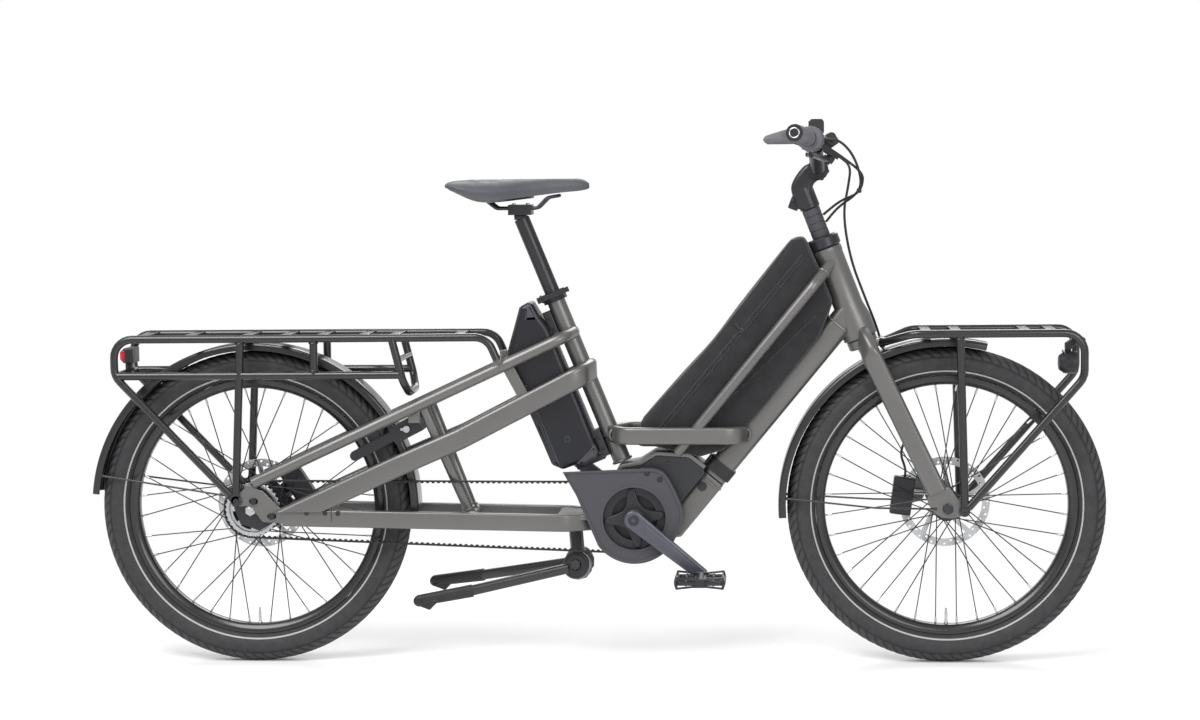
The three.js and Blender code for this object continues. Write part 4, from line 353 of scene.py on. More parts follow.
def spun(profile, origin, axis=(0, 1, 0), steps=48, sweep=360, start=0, ring=False):
    """Turns a profile of radius and place, in millimetres, round an axis through origin."""
    obj = meshed(drawn([(r / 1000, place / 1000, 0) for r, place in profile], ring))
    with editing(obj):
        bpy.ops.mesh.spin(steps=steps, angle=math.radians(sweep), center=(0, 0, 0), axis=(0, 1, 0))
        bpy.ops.mesh.select_all(action="SELECT")
        bpy.ops.mesh.remove_doubles(threshold=1e-6)
        bpy.ops.mesh.select_all(action="SELECT")
        bpy.ops.mesh.normals_make_consistent(inside=False)
    tilt = Vector((0, 1, 0)).rotation_difference(Vector(axis))
    obj.rotation_mode = "QUATERNION"
    obj.rotation_quaternion = tilt @ Matrix.Rotation(math.radians(start), 3, "Y").to_quaternion()
    obj.location = metres(origin)
    return settle(obj)


def rod(start, end, radius, edge=0.6, steps=24, inner=0):
    """A round bar, or a sleeve, with softened ends."""
    start, end = Vector(start), Vector(end)
    far = (end - start).length
    outer = [(radius - edge, 0), (radius, edge), (radius, far - edge), (radius - edge, far)]
    if inner:
        profile, ring = [(inner, 0), *outer, (inner, far)], True
    else:
        profile, ring = [(0, 0), *outer, (0, far)], False
    return spun(profile, start, end - start, steps, ring=ring)


def block(center, size, pitch, edge):
    """A box with softened edges, pitched nose up in the side view."""
    bpy.ops.object.select_all(action="DESELECT")
    bpy.ops.mesh.primitive_cube_add(size=1, location=metres(center))
    obj = bpy.context.object
    obj.scale = [s / 1000 for s in size]
    bpy.ops.object.transform_apply(location=False, rotation=False, scale=True)
    if edge:
        with editing(obj):
            bpy.ops.mesh.bevel(offset=edge / 1000, segments=2, affect="EDGES")
    obj.rotation_euler = (0, -math.radians(pitch), 0)
    return settle(obj)


def bead(center, axis, radius, thick):
    """A weld bead round a tube."""
    turn = Vector((0, 0, 1)).rotation_difference(Vector(axis)).to_euler()
    size = {"major_radius": radius / 1000, "minor_radius": thick / 1000}
    bpy.ops.mesh.primitive_torus_add(
        major_segments=36, minor_segments=8, location=metres(center), rotation=turn, **size
    )
    return settle(bpy.context.object)


def bolt(face, axis, radius, head):
    """A socket-head bolt: its head stands on face and points along axis."""
    socket, soft = radius * 0.5, 0.7
    profile = [(0, 0), (radius, 0), (radius, head - soft), (radius - soft, head)]
    profile += [(socket, head), (socket, head * 0.4), (0, head * 0.4)]
    return spun(profile, face, axis, 20)


def copied(obj, matrices):
    """Copies of a small shape, joined to one mesh."""
    made = []
    for matrix in matrices:
        twin = obj.copy()
        twin.data = obj.data.copy()
        twin.data.transform(matrix)
        bpy.context.scene.collection.objects.link(twin)
        made.append(twin)
    bpy.data.objects.remove(obj)
    return joined(made)


def turn_about(center, axis, degrees):
    """The matrix that turns a piece about a line through center."""
    spot = metres(center)
    turn = Matrix.Rotation(math.radians(degrees), 4, Vector(axis).normalized())
    return Matrix.Translation(spot) @ turn @ Matrix.Translation(-spot)


def between(a, b, share):
    """The point a share of the way from a to b."""
    return Vector(a) + (Vector(b) - Vector(a)) * share


def flipped(points):
    """The points, mirrored to the bike's other side."""
    return [P(p[0], -p[1], p[2]) for p in points]


# Materials: patterns read Object coordinates


class Nodes:
    """Builds a tree of nodes."""

    def __init__(self, tree):
        self.tree = tree

    def node(self, kind, **settings):
        made = self.tree.nodes.new(kind)
        for key, value in settings.items():
            if key in made.inputs:
                made.inputs[key].default_value = value
            else:
                setattr(made, key, value)
        return made

    def link(self, source, target):
        self.tree.links.new(source, target)

    def math(self, operation, *values):
        made = self.node("ShaderNodeMath", operation=operation)
        for spot, value in zip(made.inputs, values):
            if isinstance(value, (int, float)):
                spot.default_value = value
            else:
                self.link(value, spot)
        return made.outputs[0]

    def rays(self, first, *others):
        """One for the named kinds of light rays, nothing for the rest."""
        path = self.node("ShaderNodeLightPath").outputs
        seen = path[first]
        for kind in others:
            seen = self.math("MAXIMUM", seen, path[kind])
        return seen

    def blend(self, share, a, b):
        made = self.node("ShaderNodeMixShader")
        for source, spot in zip((share, a, b), made.inputs):
            self.link(source, spot)
        return made.outputs[0]


class Finish(Nodes):
    """Builds one procedural material."""

    def __init__(self, name, base, roughness, metallic=0.0):
        self.material = bpy.data.materials.new(name)
        self.material.use_nodes = True
        super().__init__(self.material.node_tree)
        self.shader = self.tree.nodes["Principled BSDF"]
        self.set(Base_Color=(*base, 1), Roughness=roughness, Metallic=metallic)
        self.base = base
        self.height = None
        self.place = self.node("ShaderNodeTexCoord").outputs["Object"]

    def moved(self, location=(0, 0, 0), rotation=(0, 0, 0), scale=(1, 1, 1)):
        made = self.node("ShaderNodeMapping", Location=location, Rotation=rotation, Scale=scale)
        self.link(self.place, made.inputs["Vector"])
        return made.outputs[0]

    def parts(self, source):
        """The X, Y and Z of a place."""
        made = self.node("ShaderNodeSeparateXYZ")
        self.link(source, made.inputs[0])
        return made.outputs

    def axle_distance(self, center):
        """Distance from a wheel's axle, in metres."""
        x, _, z = self.parts(self.moved(location=-metres(center)))
        squares = self.math("MULTIPLY", x, x), self.math("MULTIPLY", z, z)
        return self.math("SQRT", self.math("ADD", *squares))

    def waves(self, source, turns):
        return self.math("SINE", self.math("MULTIPLY", source, turns))

    def cells(self, scale, **settings):
        made = self.node("ShaderNodeTexVoronoi", Scale=scale, **settings)
        self.link(self.place, made.inputs["Vector"])
        return made.outputs["Distance"]

    def noise(self, scale, detail=3):
        made = self.node("ShaderNodeTexNoise", Scale=scale, Detail=detail)
        self.link(self.place, made.inputs["Vector"])
        return made.outputs["Fac"]

    def ramp(self, source, *stops):
        made = self.node("ShaderNodeValToRGB")
        while len(made.color_ramp.elements) < len(stops):
            made.color_ramp.elements.new(0.5)
        for element, (spot, shade) in zip(made.color_ramp.elements, stops):
            element.position = spot
            element.color = (*shade, 1) if not isinstance(shade, (int, float)) else (shade, shade, shade, 1)
        self.link(source, made.inputs["Fac"])
        return made.outputs["Color"]

    def mix(self, share, a, b):
        made = self.node("ShaderNodeMix", data_type="RGBA")
        for spot, value in ((0, share), (6, a), (7, b)):
            if hasattr(value, "links"):
                self.link(value, made.inputs[spot])
            else:
                made.inputs[spot].default_value = value if spot == 0 else (*value, 1)
        return made.outputs[2]

    def tone(self, scale, spread):
        """Lets the colour drift a little over the surface."""
        low = [c * (1 - spread) for c in self.base]
        high = [min(1, c * (1 + spread)) for c in self.base]
        self.link(self.ramp(self.noise(scale), (0.3, low), (0.7, high)), self.shader.inputs["Base Color"])
        return self

    def gloss(self, scale, low, high):
        """Lets the roughness drift between two values."""
        self.link(self.ramp(self.noise(scale, 4), (0.3, low), (0.7, high)), self.shader.inputs["Roughness"])
        return self

    def bump(self, source, strength, distance):
        made = self.node("ShaderNodeBump", Strength=strength, Distance=distance)
        self.link(source, made.inputs["Height"])
        if self.height:
            self.link(self.height, made.inputs["Normal"])
        self.height = made.outputs["Normal"]
        self.link(self.height, self.shader.inputs["Normal"])
        return self

    def grain(self, scale, strength, distance, detail=4):
        return self.bump(self.noise(scale, detail), strength, distance)

    def set(self, **values):
        for key, value in values.items():
            self.shader.inputs[key.replace("_", " ")].default_value = value
        return self


def tyre_finish(name, center):
    """Rubber with a light stripe on its sidewall and fine mould lines; painted shade darkens the tread's grooves and
    painted light brightens its blocks.
    """
    c = colours()
    made = Finish(name, c.tyre, 0.7)

    def shaded(share):
        return [v * share for v in c.tyre]

    radius = made.axle_distance(center)
    stripe = made.math("COMPARE", radius, 0.2665, 0.0014)
    tone_and_painted_tread_light = made.ramp(made.noise(60), (0.3, shaded(0.82)), (0.7, shaded(1.2)))
    # Over the colour's random drift: painted shade in the grooves and painted light on the tops of the blocks
    for key, strength, share in (("block", 0.5, 1.9), ("groove", 0.85, 0.22)):
        marks = made.node("ShaderNodeAttribute", attribute_name=key).outputs["Fac"]
        tone_and_painted_tread_light = made.mix(made.math("MULTIPLY", marks, strength), tone_and_painted_tread_light, shaded(share))
    made.link(made.mix(stripe, tone_and_painted_tread_light, c.stripe), made.shader.inputs["Base Color"])
    made.link(made.ramp(made.noise(90), (0.3, 0.56), (0.7, 0.74)), made.shader.inputs["Roughness"])
    return made.bump(made.waves(radius, 2100), 0.25, 0.0003).grain(900, 0.3, 0.0003)


def disc_finish(name, center):
    """Ground steel: fine rings round the axle."""
    made = Finish(name, colours().steel, 0.28, 1.0)
    rings = made.node("ShaderNodeTexNoise", noise_dimensions="1D", Detail=5)
    rings.inputs["Scale"].default_value = 1500
    made.link(made.axle_distance(center), rings.inputs["W"])
    made.link(made.ramp(rings.outputs["Fac"], (0.2, 0.22), (0.8, 0.4)), made.shader.inputs["Roughness"])
    return made.tone(20, 0.08).bump(rings.outputs["Fac"], 0.25, 0.0001)


def plain_finish(name, base, roughness, metallic, tone, gloss, grain=None, **coat):
    """A finish whose colour and gloss drift a little, over a fine grain."""
    made = Finish(name, base, roughness, metallic).tone(*tone).gloss(*gloss)
    if grain:
        made.grain(*grain)
    return made.set(**coat)


def paint_finish(name, base):
    """Satin paint with metal flakes under a thin clear coat."""
    made = Finish(name, base, 0.36, 0.62).tone(5, 0.05).gloss(14, 0.32, 0.4)
    made.bump(made.cells(2600), 0.03, 0.0002)
    return made.grain(220, 0.025, 0.0003).set(Coat_Weight=0.15, Coat_Roughness=0.35)


def grip_finish(name, base):
    """Rubber with a pattern of small raised cells."""
    made = Finish(name, base, 0.78).tone(30, 0.08).gloss(60, 0.7, 0.86)
    edges = made.cells(260, feature="DISTANCE_TO_EDGE")
    return made.bump(made.ramp(edges, (0.04, 0.0), (0.16, 1.0)), 0.5, 0.0006)


def cloth_finish(name, base):
    """Cloth: crossing threads in the side view, over soft creases."""
    made = Finish(name, base, 0.85).tone(14, 0.16).gloss(40, 0.78, 0.92)
    pitch = 0.0016
    warp, depth, weft = (
        made.waves(part, 2 * math.pi / pitch) for part in made.parts(made.moved(rotation=(0, math.radians(40), 0)))
    )
    made.bump(made.math("ADD", made.math("MULTIPLY", warp, weft), depth), 0.35, 0.0003)
    return made.grain(28, 0.25, 0.003, 3).set(Sheen_Weight=0.25, Sheen_Roughness=0.5)


def saddle_finish(name, base):
    """A cover with a small leather-like pebble."""
    made = Finish(name, base, 0.58).tone(18, 0.1).gloss(40, 0.52, 0.66)
    return made.bump(made.cells(900), 0.25, 0.0003)


def lens_finish(name, base, clear=0.0):
    """A ribbed lens; clear is how much light goes through."""
    made = Finish(name, base, 0.12).tone(40, 0.12).set(Coat_Weight=0.6, Coat_Roughness=0.08)
    made.bump(made.waves(made.parts(made.place)["Y"], 2200), 0.4, 0.0005)
    if clear:
        made.set(Transmission_Weight=clear, IOR=1.45)
    return made


def floor_finish(name, base):
    """Pale paper that turns to plain white away from the bike."""
    made = Finish(name, base, 0.9).grain(3, 0.02, 0.001)
    away = made.node("ShaderNodeVectorMath", operation="LENGTH")
    made.link(made.moved(scale=(0.55, 0.8, 1)), away.inputs[0])
    far = made.ramp(away.outputs["Value"], (0.62, 0.0), (0.95, 1.0))
    white = made.node("ShaderNodeEmission", Strength=1)
    share = made.math("MULTIPLY", far, made.rays("Is Camera Ray", "Is Glossy Ray", "Is Transmission Ray"))
    shown = made.blend(share, made.shader.outputs[0], white.outputs[0])
    made.link(shown, made.tree.nodes["Material Output"].inputs["Surface"])
    return made


def made_finish(shade):
    """Makes a finish. A plain one has roughness, metal, drift of colour, drift of gloss and grain."""
    c = colours()
    makers = {
        "paint": (paint_finish, "frame_paint", c.frame),
        "powder": (plain_finish, "rack_powder_coat", c.racks, 0.3, 0, (7, 0.12), (25, 0.24, 0.34), (420, 0.04, 0.0003)),
        "alloy": (plain_finish, "black_alloy", c.alloy, 0.3, 0.3, (12, 0.1), (40, 0.24, 0.36), (1200, 0.03, 0.0002)),
        "casing": (
            plain_finish, "moulded_casing", c.casing, 0.42, 0, (10, 0.1), (30, 0.36, 0.48), (1500, 0.35, 0.0003, 2)
        ),
        "arm": (plain_finish, "graphite_arm", c.arm, 0.32, 0.5, (12, 0.08), (40, 0.26, 0.38), (1100, 0.03, 0.0002)),
        "guard": (plain_finish, "guard_moulding", c.guard, 0.6, 0, (6, 0.05), (20, 0.55, 0.66), (1600, 0.3, 0.0003, 2)),
        "battery": (
            plain_finish, "battery_moulding", c.battery, 0.36, 0, (6, 0.08), (20, 0.3, 0.42), (1400, 0.3, 0.0003, 2)
        ),
        "steel": (plain_finish, "bright_steel", c.steel, 0.3, 1, (30, 0.06), (160, 0.22, 0.38), (900, 0.08, 0.0002)),
        "dark_steel": (plain_finish, "dark_steel", linear(70, 71, 74), 0.35, 0.9, (40, 0.08), (160, 0.3, 0.42)),
        "rubber": (
            plain_finish, "hose_jacket", linear(27, 27, 29), 0.5, 0, (40, 0.15), (60, 0.42, 0.56), (700, 0.15, 0.0002)
        ),
        "belt": (
            plain_finish, "belt_rubber", linear(30, 30, 32), 0.7, 0, (60, 0.2), (80, 0.6, 0.78), (900, 0.25, 0.0003)
        ),
        "screen": (plain_finish, "display_glass", linear(16, 17, 20), 0.1, 0, (8, 0.15), (12, 0.08, 0.16)),
        "grip": (grip_finish, "grip_rubber", c.grip),
        "saddle": (saddle_finish, "saddle_cover", c.saddle),
        "cloth": (cloth_finish, "bag_cloth", c.cloth),
        "panel": (cloth_finish, "bag_panel", c.panel),
        "red": (lens_finish, "rear_lens", c.lens),
        "clear": (lens_finish, "front_lens", linear(205, 210, 214), 0.5),
        "floor": (floor_finish, "floor_paper", (0.93, 0.93, 0.93)),
        "tyre_rear": (tyre_finish, "tyre_rubber_rear", REAR),
        "tyre_front": (tyre_finish, "tyre_rubber_front", FRONT),
        "disc_rear": (disc_finish, "disc_steel_rear", REAR),
        "disc_front": (disc_finish, "disc_steel_front", FRONT),
    }
    coats = {
        "powder": {"Coat_Weight": 0.5, "Coat_Roughness": 0.15},
        "screen": {"Coat_Weight": 0.7, "Coat_Roughness": 0.05},
    }
    maker, *values = makers[shade]
    return maker(*values, **coats.get(shade, {})).material


FINISHES = {}


def finish(shade):
    """Each material is made once."""
    if shade not in FINISHES:
        FINISHES[shade] = made_finish(shade)
    return FINISHES[shade]


# The bike's lines, in the side view


def head_point(level, y=0.0):
    return P(1176.8 - (level - 736) / math.tan(HEAD_ANGLE), y, level)


def seat_point(level):
    return P(614.5 - (level - 708) / math.tan(SEAT_ANGLE), 0, level)


def down_point(level, y=0.0):
    return P(head_point(699).x - (699 - level) / math.tan(DOWN_ANGLE), y, level)


HEAD_UP = P(-math.cos(HEAD_ANGLE), 0, math.sin(HEAD_ANGLE))
HEAD_FRONT = P(HEAD_UP.z, 0, -HEAD_UP.x)
SEAT_UP = P(-math.cos(SEAT_ANGLE), 0, math.sin(SEAT_ANGLE))
SEAT_FRONT = P(SEAT_UP.z, 0, -SEAT_UP.x)
DOWN_UP = P(math.cos(DOWN_ANGLE), 0, math.sin(DOWN_ANGLE))
DOWN_FRONT = P(DOWN_UP.z, 0, -DOWN_UP.x)
BRACKET = [
    CRANK + P(u * 206, 0, v * 176)
    for u, v in ((-0.357, -0.188), (-0.138, 0.568), (0.061, 0.608), (0.206, 0.716), (0.527, 0.693), (0.677, 0.557))
]


def at_side(point, side, offset):
    """The point, moved to a place on one side of the bike."""
    return P(point[0], side * offset, point[2])


def shares(pairs, origin, width, height=None):
    """An outline given in shares of a width and a height."""
    return [(origin.x + u * width, origin.z + v * (height or width)) for u, v in pairs]


def wheel_point(center, degrees, radius, y=0.0):
    """A place at an angle and a distance from an axle."""
    angle = math.radians(degrees)
    return P(center.x + math.cos(angle) * radius, y, center.z + math.sin(angle) * radius)


def plate(outline, thickness, at, holes=(), edge=0.8, rounding=1, lying=False):
    """A plate with softened edges and its middle at a place, drawn in the side view or, if it lies, from above."""
    rings = [[((x - SHIFT) / 1000, z / 1000) for x, z in ring] for ring in (outline, *holes)]
    obj = drawn(rings[0], True, True)
    for hole in rings[1:]:
        add_line(obj, hole)
    obj.data.fill_mode = "BOTH"
    obj.data.bevel_depth = edge / 1000
    obj.data.bevel_resolution = rounding
    obj.data.offset = -edge / 1000
    obj.data.extrude = max(0.00001, thickness / 2000 - edge / 1000)
    made = meshed(obj)
    if lying:
        made.location = (0, 0, at / 1000)
    else:
        made.location = (0, at / 1000, 0)
        made.rotation_euler = (math.pi / 2, 0, 0)
    return settle(made)


def lofted(rows):
    """A closed skin over rows of points, in millimetres; each row goes once round."""
    around = len(rows[0])
    points = [metres(p) for row in rows for p in row]
    faces = []
    for row in range(len(rows) - 1):
        for i in range(around):
            after = (i + 1) % around
            here, there = row * around, (row + 1) * around
            faces.append((here + i, here + after, there + after, there + i))
    faces.append(tuple(range(around - 1, -1, -1)))
    faces.append(tuple((len(rows) - 1) * around + i for i in range(around)))
    mesh = bpy.data.meshes.new("loft")
    mesh.from_pydata(points, [], faces)
    obj = bpy.data.objects.new("loft", mesh)
    bpy.context.scene.collection.objects.link(obj)
    with editing(obj):
        bpy.ops.mesh.normals_make_consistent(inside=False)
    return obj


def stick():
    """A cylinder of radius and length one, to be stretched."""
    bpy.ops.object.select_all(action="DESELECT")
    bpy.ops.mesh.primitive_cylinder_add(vertices=10, radius=1, depth=1, location=(0, 0, 0))
    return bpy.context.object


def stretched(start, end, radius):
    """The matrix that turns a stick into a rod between two points."""
    start, end = metres(start), metres(end)
    turn = Vector((0, 0, 1)).rotation_difference(end - start).to_matrix().to_4x4()
    size = Matrix.Diagonal((radius / 1000, radius / 1000, (end - start).length, 1))
    return Matrix.Translation((start + end) / 2) @ turn @ size


# Wheels


def mirrored(profile):
    """The other half of a profile, in the order that closes it."""
    return [(r, -y) for r, y in reversed(profile)]


def tyre(end, center):
    """A tyre whose tread is cut into its mesh and marked there for its finish."""
    section = arc((TYRE_RING, 0), TYRE_ROUND, -150, 150, 40)
    ring = spun(section, center, steps=480, ring=True)
    spots = np.empty(len(ring.data.vertices) * 3)
    ring.data.vertices.foreach_get("co", spots)
    spots = spots.reshape(-1, 3)
    out = spots - np.array(metres(center))
    radius = np.hypot(out[:, 0], out[:, 2])
    above = radius - TYRE_RING / 1000
    around = np.round((np.degrees(np.arctan2(out[:, 2], out[:, 0])) % 360) / 0.75).astype(int)
    row = np.round(np.degrees(np.arctan2(out[:, 1], above)) / 7.5).astype(int)
    side = np.abs(row)
    shoulder = ((around + side) % 5 == 0) & (side >= 3) & (side <= 8)
    crown = ((around - row) % 5 == 0) & (side <= 1)
    line = (side == 2) | (side == 9)
    groove = shoulder | crown | line
    cut = np.where(shoulder | crown, sizes().tread, 0) + np.where(line, sizes().tread * 0.6, 0)
    # The groove and block marks carry the finish's painted shade in the grooves and painted light on the blocks
    for key, marks in (("groove", groove), ("block", (side <= 8) & ~groove)):
        spread = ring.data.attributes.new(key, "FLOAT", "POINT")
        spread.data.foreach_set("value", marks.astype(np.float32))
    normal = np.stack([out[:, 0] / radius * above, out[:, 1], out[:, 2] / radius * above], axis=1)
    normal /= np.linalg.norm(normal, axis=1)[:, None]
    ring.data.vertices.foreach_set("co", (spots - normal * cut[:, None]).ravel())
    done(ring, f"{end}_tyre_tread", f"{end}_wheel", f"{end}_tyre", f"tyre_{end}", 32)


def rim(end, center):
    """A rim with its valve."""
    half = [(256.9, 15.6), (257.2, 16.6), (256.4, 17.4), (250.8, 17.5), (247.6, 16.4), (241.2, 11.4), (238.9, 8.2)]
    ring = spun([*half, (238.7, 0), *mirrored(half)], center, steps=180, ring=True)
    foot = P(center.x, 0, center.z - 240)
    valve = [
        rod(foot + P(0, 0, low), foot + P(0, 0, high), radius, edge, steps)
        for low, high, radius, edge, steps in ((0, 25, 3, 0.4, 16), (25, 33, 2.5, 0.5, 16), (1, 4.5, 4.4, 0.5, 6))
    ]
    pieces = [painted(ring, "powder"), *painted(valve, "steel")]
    done(pieces, f"{end}_rim_ring", f"{end}_wheel", f"{end}_rim")


# Radius of the shell and the flanges, half the width, radius of the bore
HUBS = {"rear": (45, 56, 60.5, 6.5), "front": (17, 29, 53.5, 8)}
SIDE_SPOKES = 18


def hub(end, center):
    """A hub with its crossing spokes and their nipples."""
    shell, flange, half, bore = HUBS[end]
    outline = [
        (bore, half), (18.6, half), (20, half - 1.4), (20, 35), (23, 32.6), (flange - 1.2, 32.5), (flange, 31.3),
        (flange, 28.7), (flange - 1.2, 27.5), (shell + 2.5, 27.4), (shell, 24.6),
    ]
    barrel = spun([*outline, *mirrored(outline)], center, steps=64, ring=True)
    hole = flange - 5
    wires, nipples = [], []
    for side in BOTH:
        for i in range(SIDE_SPOKES):
            lean = 1 if i % 2 else -1
            rim_angle = math.radians(360 * (i + (0.5 if side > 0 else 0) + 0.25) / SIDE_SPOKES)
            hub_angle = rim_angle + lean * math.radians(52)
            start = center + P(math.sin(hub_angle) * hole, side * (30 + lean * 1.5), math.cos(hub_angle) * hole)
            tip = center + P(math.sin(rim_angle) * 238.2, 0, math.cos(rim_angle) * 238.2)
            wires.append(stretched(start, tip, sizes().spoke * 1000))
            nipples.append(stretched(between(tip, start, 0.055), tip, 2.1))
    spokes = painted(copied(stick(), wires), "dark_steel")
    pieces = [painted(barrel, "alloy"), spokes, painted(copied(stick(), nipples), "steel")]
    done(pieces, f"{end}_hub_spokes", f"{end}_wheel", f"{end}_hub")


def rotor(end, center):
    """A brake disc with its arms, holes, notched edge and bolts."""
    holes = [circle(center, 20.4, 40)]
    for low in range(0, 360, 72):
        holes.append(arc(center, 27, low + 10, low + 62, 6) + arc(center, 74.5, low + 88, low + 24, 10))
    for i in range(40):
        holes.append(circle(wheel_point(center, i * 9, 79.3 if i % 2 else 85.2), 2.3, 12))
    spots = [wheel_point(center, i * 2.4, 89.2 if i % 10 == 0 else 90) for i in range(150)]
    disc = plate([(spot.x, spot.z) for spot in spots], 2, 46, holes, edge=0.2)
    spots = [wheel_point(center, i * 60 + 20, 23.6, 47) for i in range(6)]
    bolts = painted([bolt(spot, (0, 1, 0), 2.6, 2) for spot in spots], "dark_steel")
    pieces = [painted(disc, f"disc_{end}"), *bolts]
    done(pieces, f"{end}_brake_disc", f"{end}_wheel", f"{end}_rotor")


class BIKE_OT_wheels(bpy.types.Operator):
    """Tyres with tread, rims with valves, hubs with spokes and brake discs"""

    bl_idname = "bike.wheels"
    bl_label = "Wheels"

    def execute(self, context):
        for make in (tyre, rim, hub, rotor):
            for end, center in WHEELS:
                make(end, center)
        dressed("rear_axle", "steel", 0.8)
        dressed("front_axle", "dark_steel", 0.8)
        for name in ("rear_caliper", "front_caliper"):
            dressed(name, "alloy", 3)
        return {"FINISHED"}


# Drive


def belt_ring(center, teeth):
    """A toothed ring, and the outline of the web that fills it."""
    tip = teeth * BELT_PITCH / (2 * math.pi) - 0.3
    root, inside = tip - 3, tip - 9
    points = []
    for i in range(teeth):
        for share, radius in ((-0.17, tip), (0.17, tip), (0.3, root), (0.7, root)):
            angle = 2 * math.pi * (i + share) / teeth
            points.append((center.x + math.cos(angle) * radius, center.z + math.sin(angle) * radius))
    return plate(points, 11, BELT_MIDDLE, [circle(center, inside, 48)], edge=0.5), circle(center, inside + 0.4, 48)


def belt_loop():
    """The belt's pitch line, at even steps, with its outward direction."""
    front, rear = 70.03, 56.02
    tilt = math.degrees(math.atan2(CRANK.z - REAR.z, CRANK.x))
    lean = math.degrees(math.acos((rear - front) / math.hypot(CRANK.x, CRANK.z - REAR.z)))
    line = arc(CRANK, front, tilt - lean, tilt + lean, 160) + arc(REAR, rear, tilt + lean, tilt + 360 - lean, 160)
    line.append(line[0])
    line = np.array(line)
    runs = np.hypot(*np.diff(line, axis=0).T)
    at = np.concatenate([[0], np.cumsum(runs)])
    count = round(at[-1] / BELT_PITCH) * 4
    steps = np.arange(count) / count * at[-1]
    x, z = np.interp(steps, at, line[:, 0]), np.interp(steps, at, line[:, 1])
    dx, dz = np.roll(x, -1) - np.roll(x, 1), np.roll(z, -1) - np.roll(z, 1)
    far = np.hypot(dx, dz)
    return x, z, dz / far, -dx / far


class BIKE_OT_belt(bpy.types.Operator):
    """Toothed belt, its front ring and its rear sprocket"""

    bl_idname = "bike.belt"
    bl_label = "Belt"

    def execute(self, context):
        x, z, out_x, out_z = belt_loop()
        cut = np.tile([0.1, 0.1, 2.7, 2.7], len(x) // 4)
        outer = list(zip(x + out_x * 2.3, z + out_z * 2.3))
        inner = list(zip(x - out_x * cut, z - out_z * cut))
        done(plate(outer, 11, BELT_MIDDLE, [inner], edge=0.4), "belt_loop", "frame", "belt", "belt", 30)
        ring, web = belt_ring(CRANK, 40)
        web = plate(web, 4, -52.5, [circle(CRANK, 44.6, 48)])
        done([ring, web], "front_ring", "cranks", "belt_ring", "alloy", 30)
        ring, web = belt_ring(REAR, 32)
        gaps = [arc(REAR, 27, low + 9, low + 36, 5) + arc(REAR, 41, low + 38, low + 7, 6) for low in range(0, 360, 45)]
        web = plate(web, 4, -45.5, [circle(REAR, 20.4, 40), *gaps])
        done([ring, web], "rear_ring", "rear_drive", "rear_sprocket", "steel", 30)
        return {"FINISHED"}


def crank_way(side):
    """The way that an arm points; the left one points opposite to the right one."""
    turn = CRANK_ANGLE + (math.pi if side > 0 else 0)
    return P(math.cos(turn), 0, math.sin(turn))


def crank(side, name):
    """One arm with its pedal axle; the right one carries the spindle and the spider."""
    along = crank_way(side)
    up = P(-along.z, 0, along.x)

    def placed(points):
        spots = [CRANK + along * a + up * b for a, b in points]
        return [(p.x, p.z) for p in spots]

    outline = arc((0, 0), 19, 75, 285, 20) + arc((CRANK_LENGTH, 0), 13, -80, 80, 14)
    rib = [(24, 7), (150, 5.5), (156, 0), (150, -5.5), (24, -7), (30, 0)]
    arm = plate(placed(outline), 14, side * 85, edge=4, rounding=3)
    ridge = plate(placed(rib), 2, side * 92, edge=0.9)
    tip = CRANK + along * CRANK_LENGTH
    axle = rod(at_side(tip, side, 78.5), at_side(tip, side, 193), 5)
    cap = rod(at_side(CRANK, side, 91), at_side(CRANK, side, 93.2), 10.5, 1, 32, 4)
    pieces = [*painted([arm, ridge], "arm"), painted(axle, "steel"), painted(cap, "dark_steel")]
    if side < 0:
        shaft = rod(at_side(CRANK, -1, 78), at_side(CRANK, 1, 92.5), 11)
        boss = rod(at_side(CRANK, -1, 54.8), at_side(CRANK, -1, 79), 19, 1.5, 40)
        pieces += [painted(shaft, "dark_steel"), painted(boss, "arm")]
        star = []
        for i in range(4):
            reach = math.degrees(CRANK_ANGLE) + 45 + i * 90
            head = wheel_point(CRANK, reach, 52)
            star += arc(head, 7.8, reach - 75, reach + 75, 8)
            pieces.append(painted(bolt(P(head.x, -59.8, head.z), (0, -1, 0), 4.6, 1.6), "dark_steel"))
            for step in range(1, 8):
                lean = reach + 10 + (70 / 8) * step
                hollow = wheel_point(CRANK, lean, 46 - 19 * math.sin(math.pi * step / 8) ** 0.6)
                star.append((hollow.x, hollow.z))
        pieces.append(painted(plate(star, 5, -57.3, edge=1.6, rounding=2), "alloy"))
    done(pieces, f"crank_arm_{name}", "cranks", f"crank_{name}")


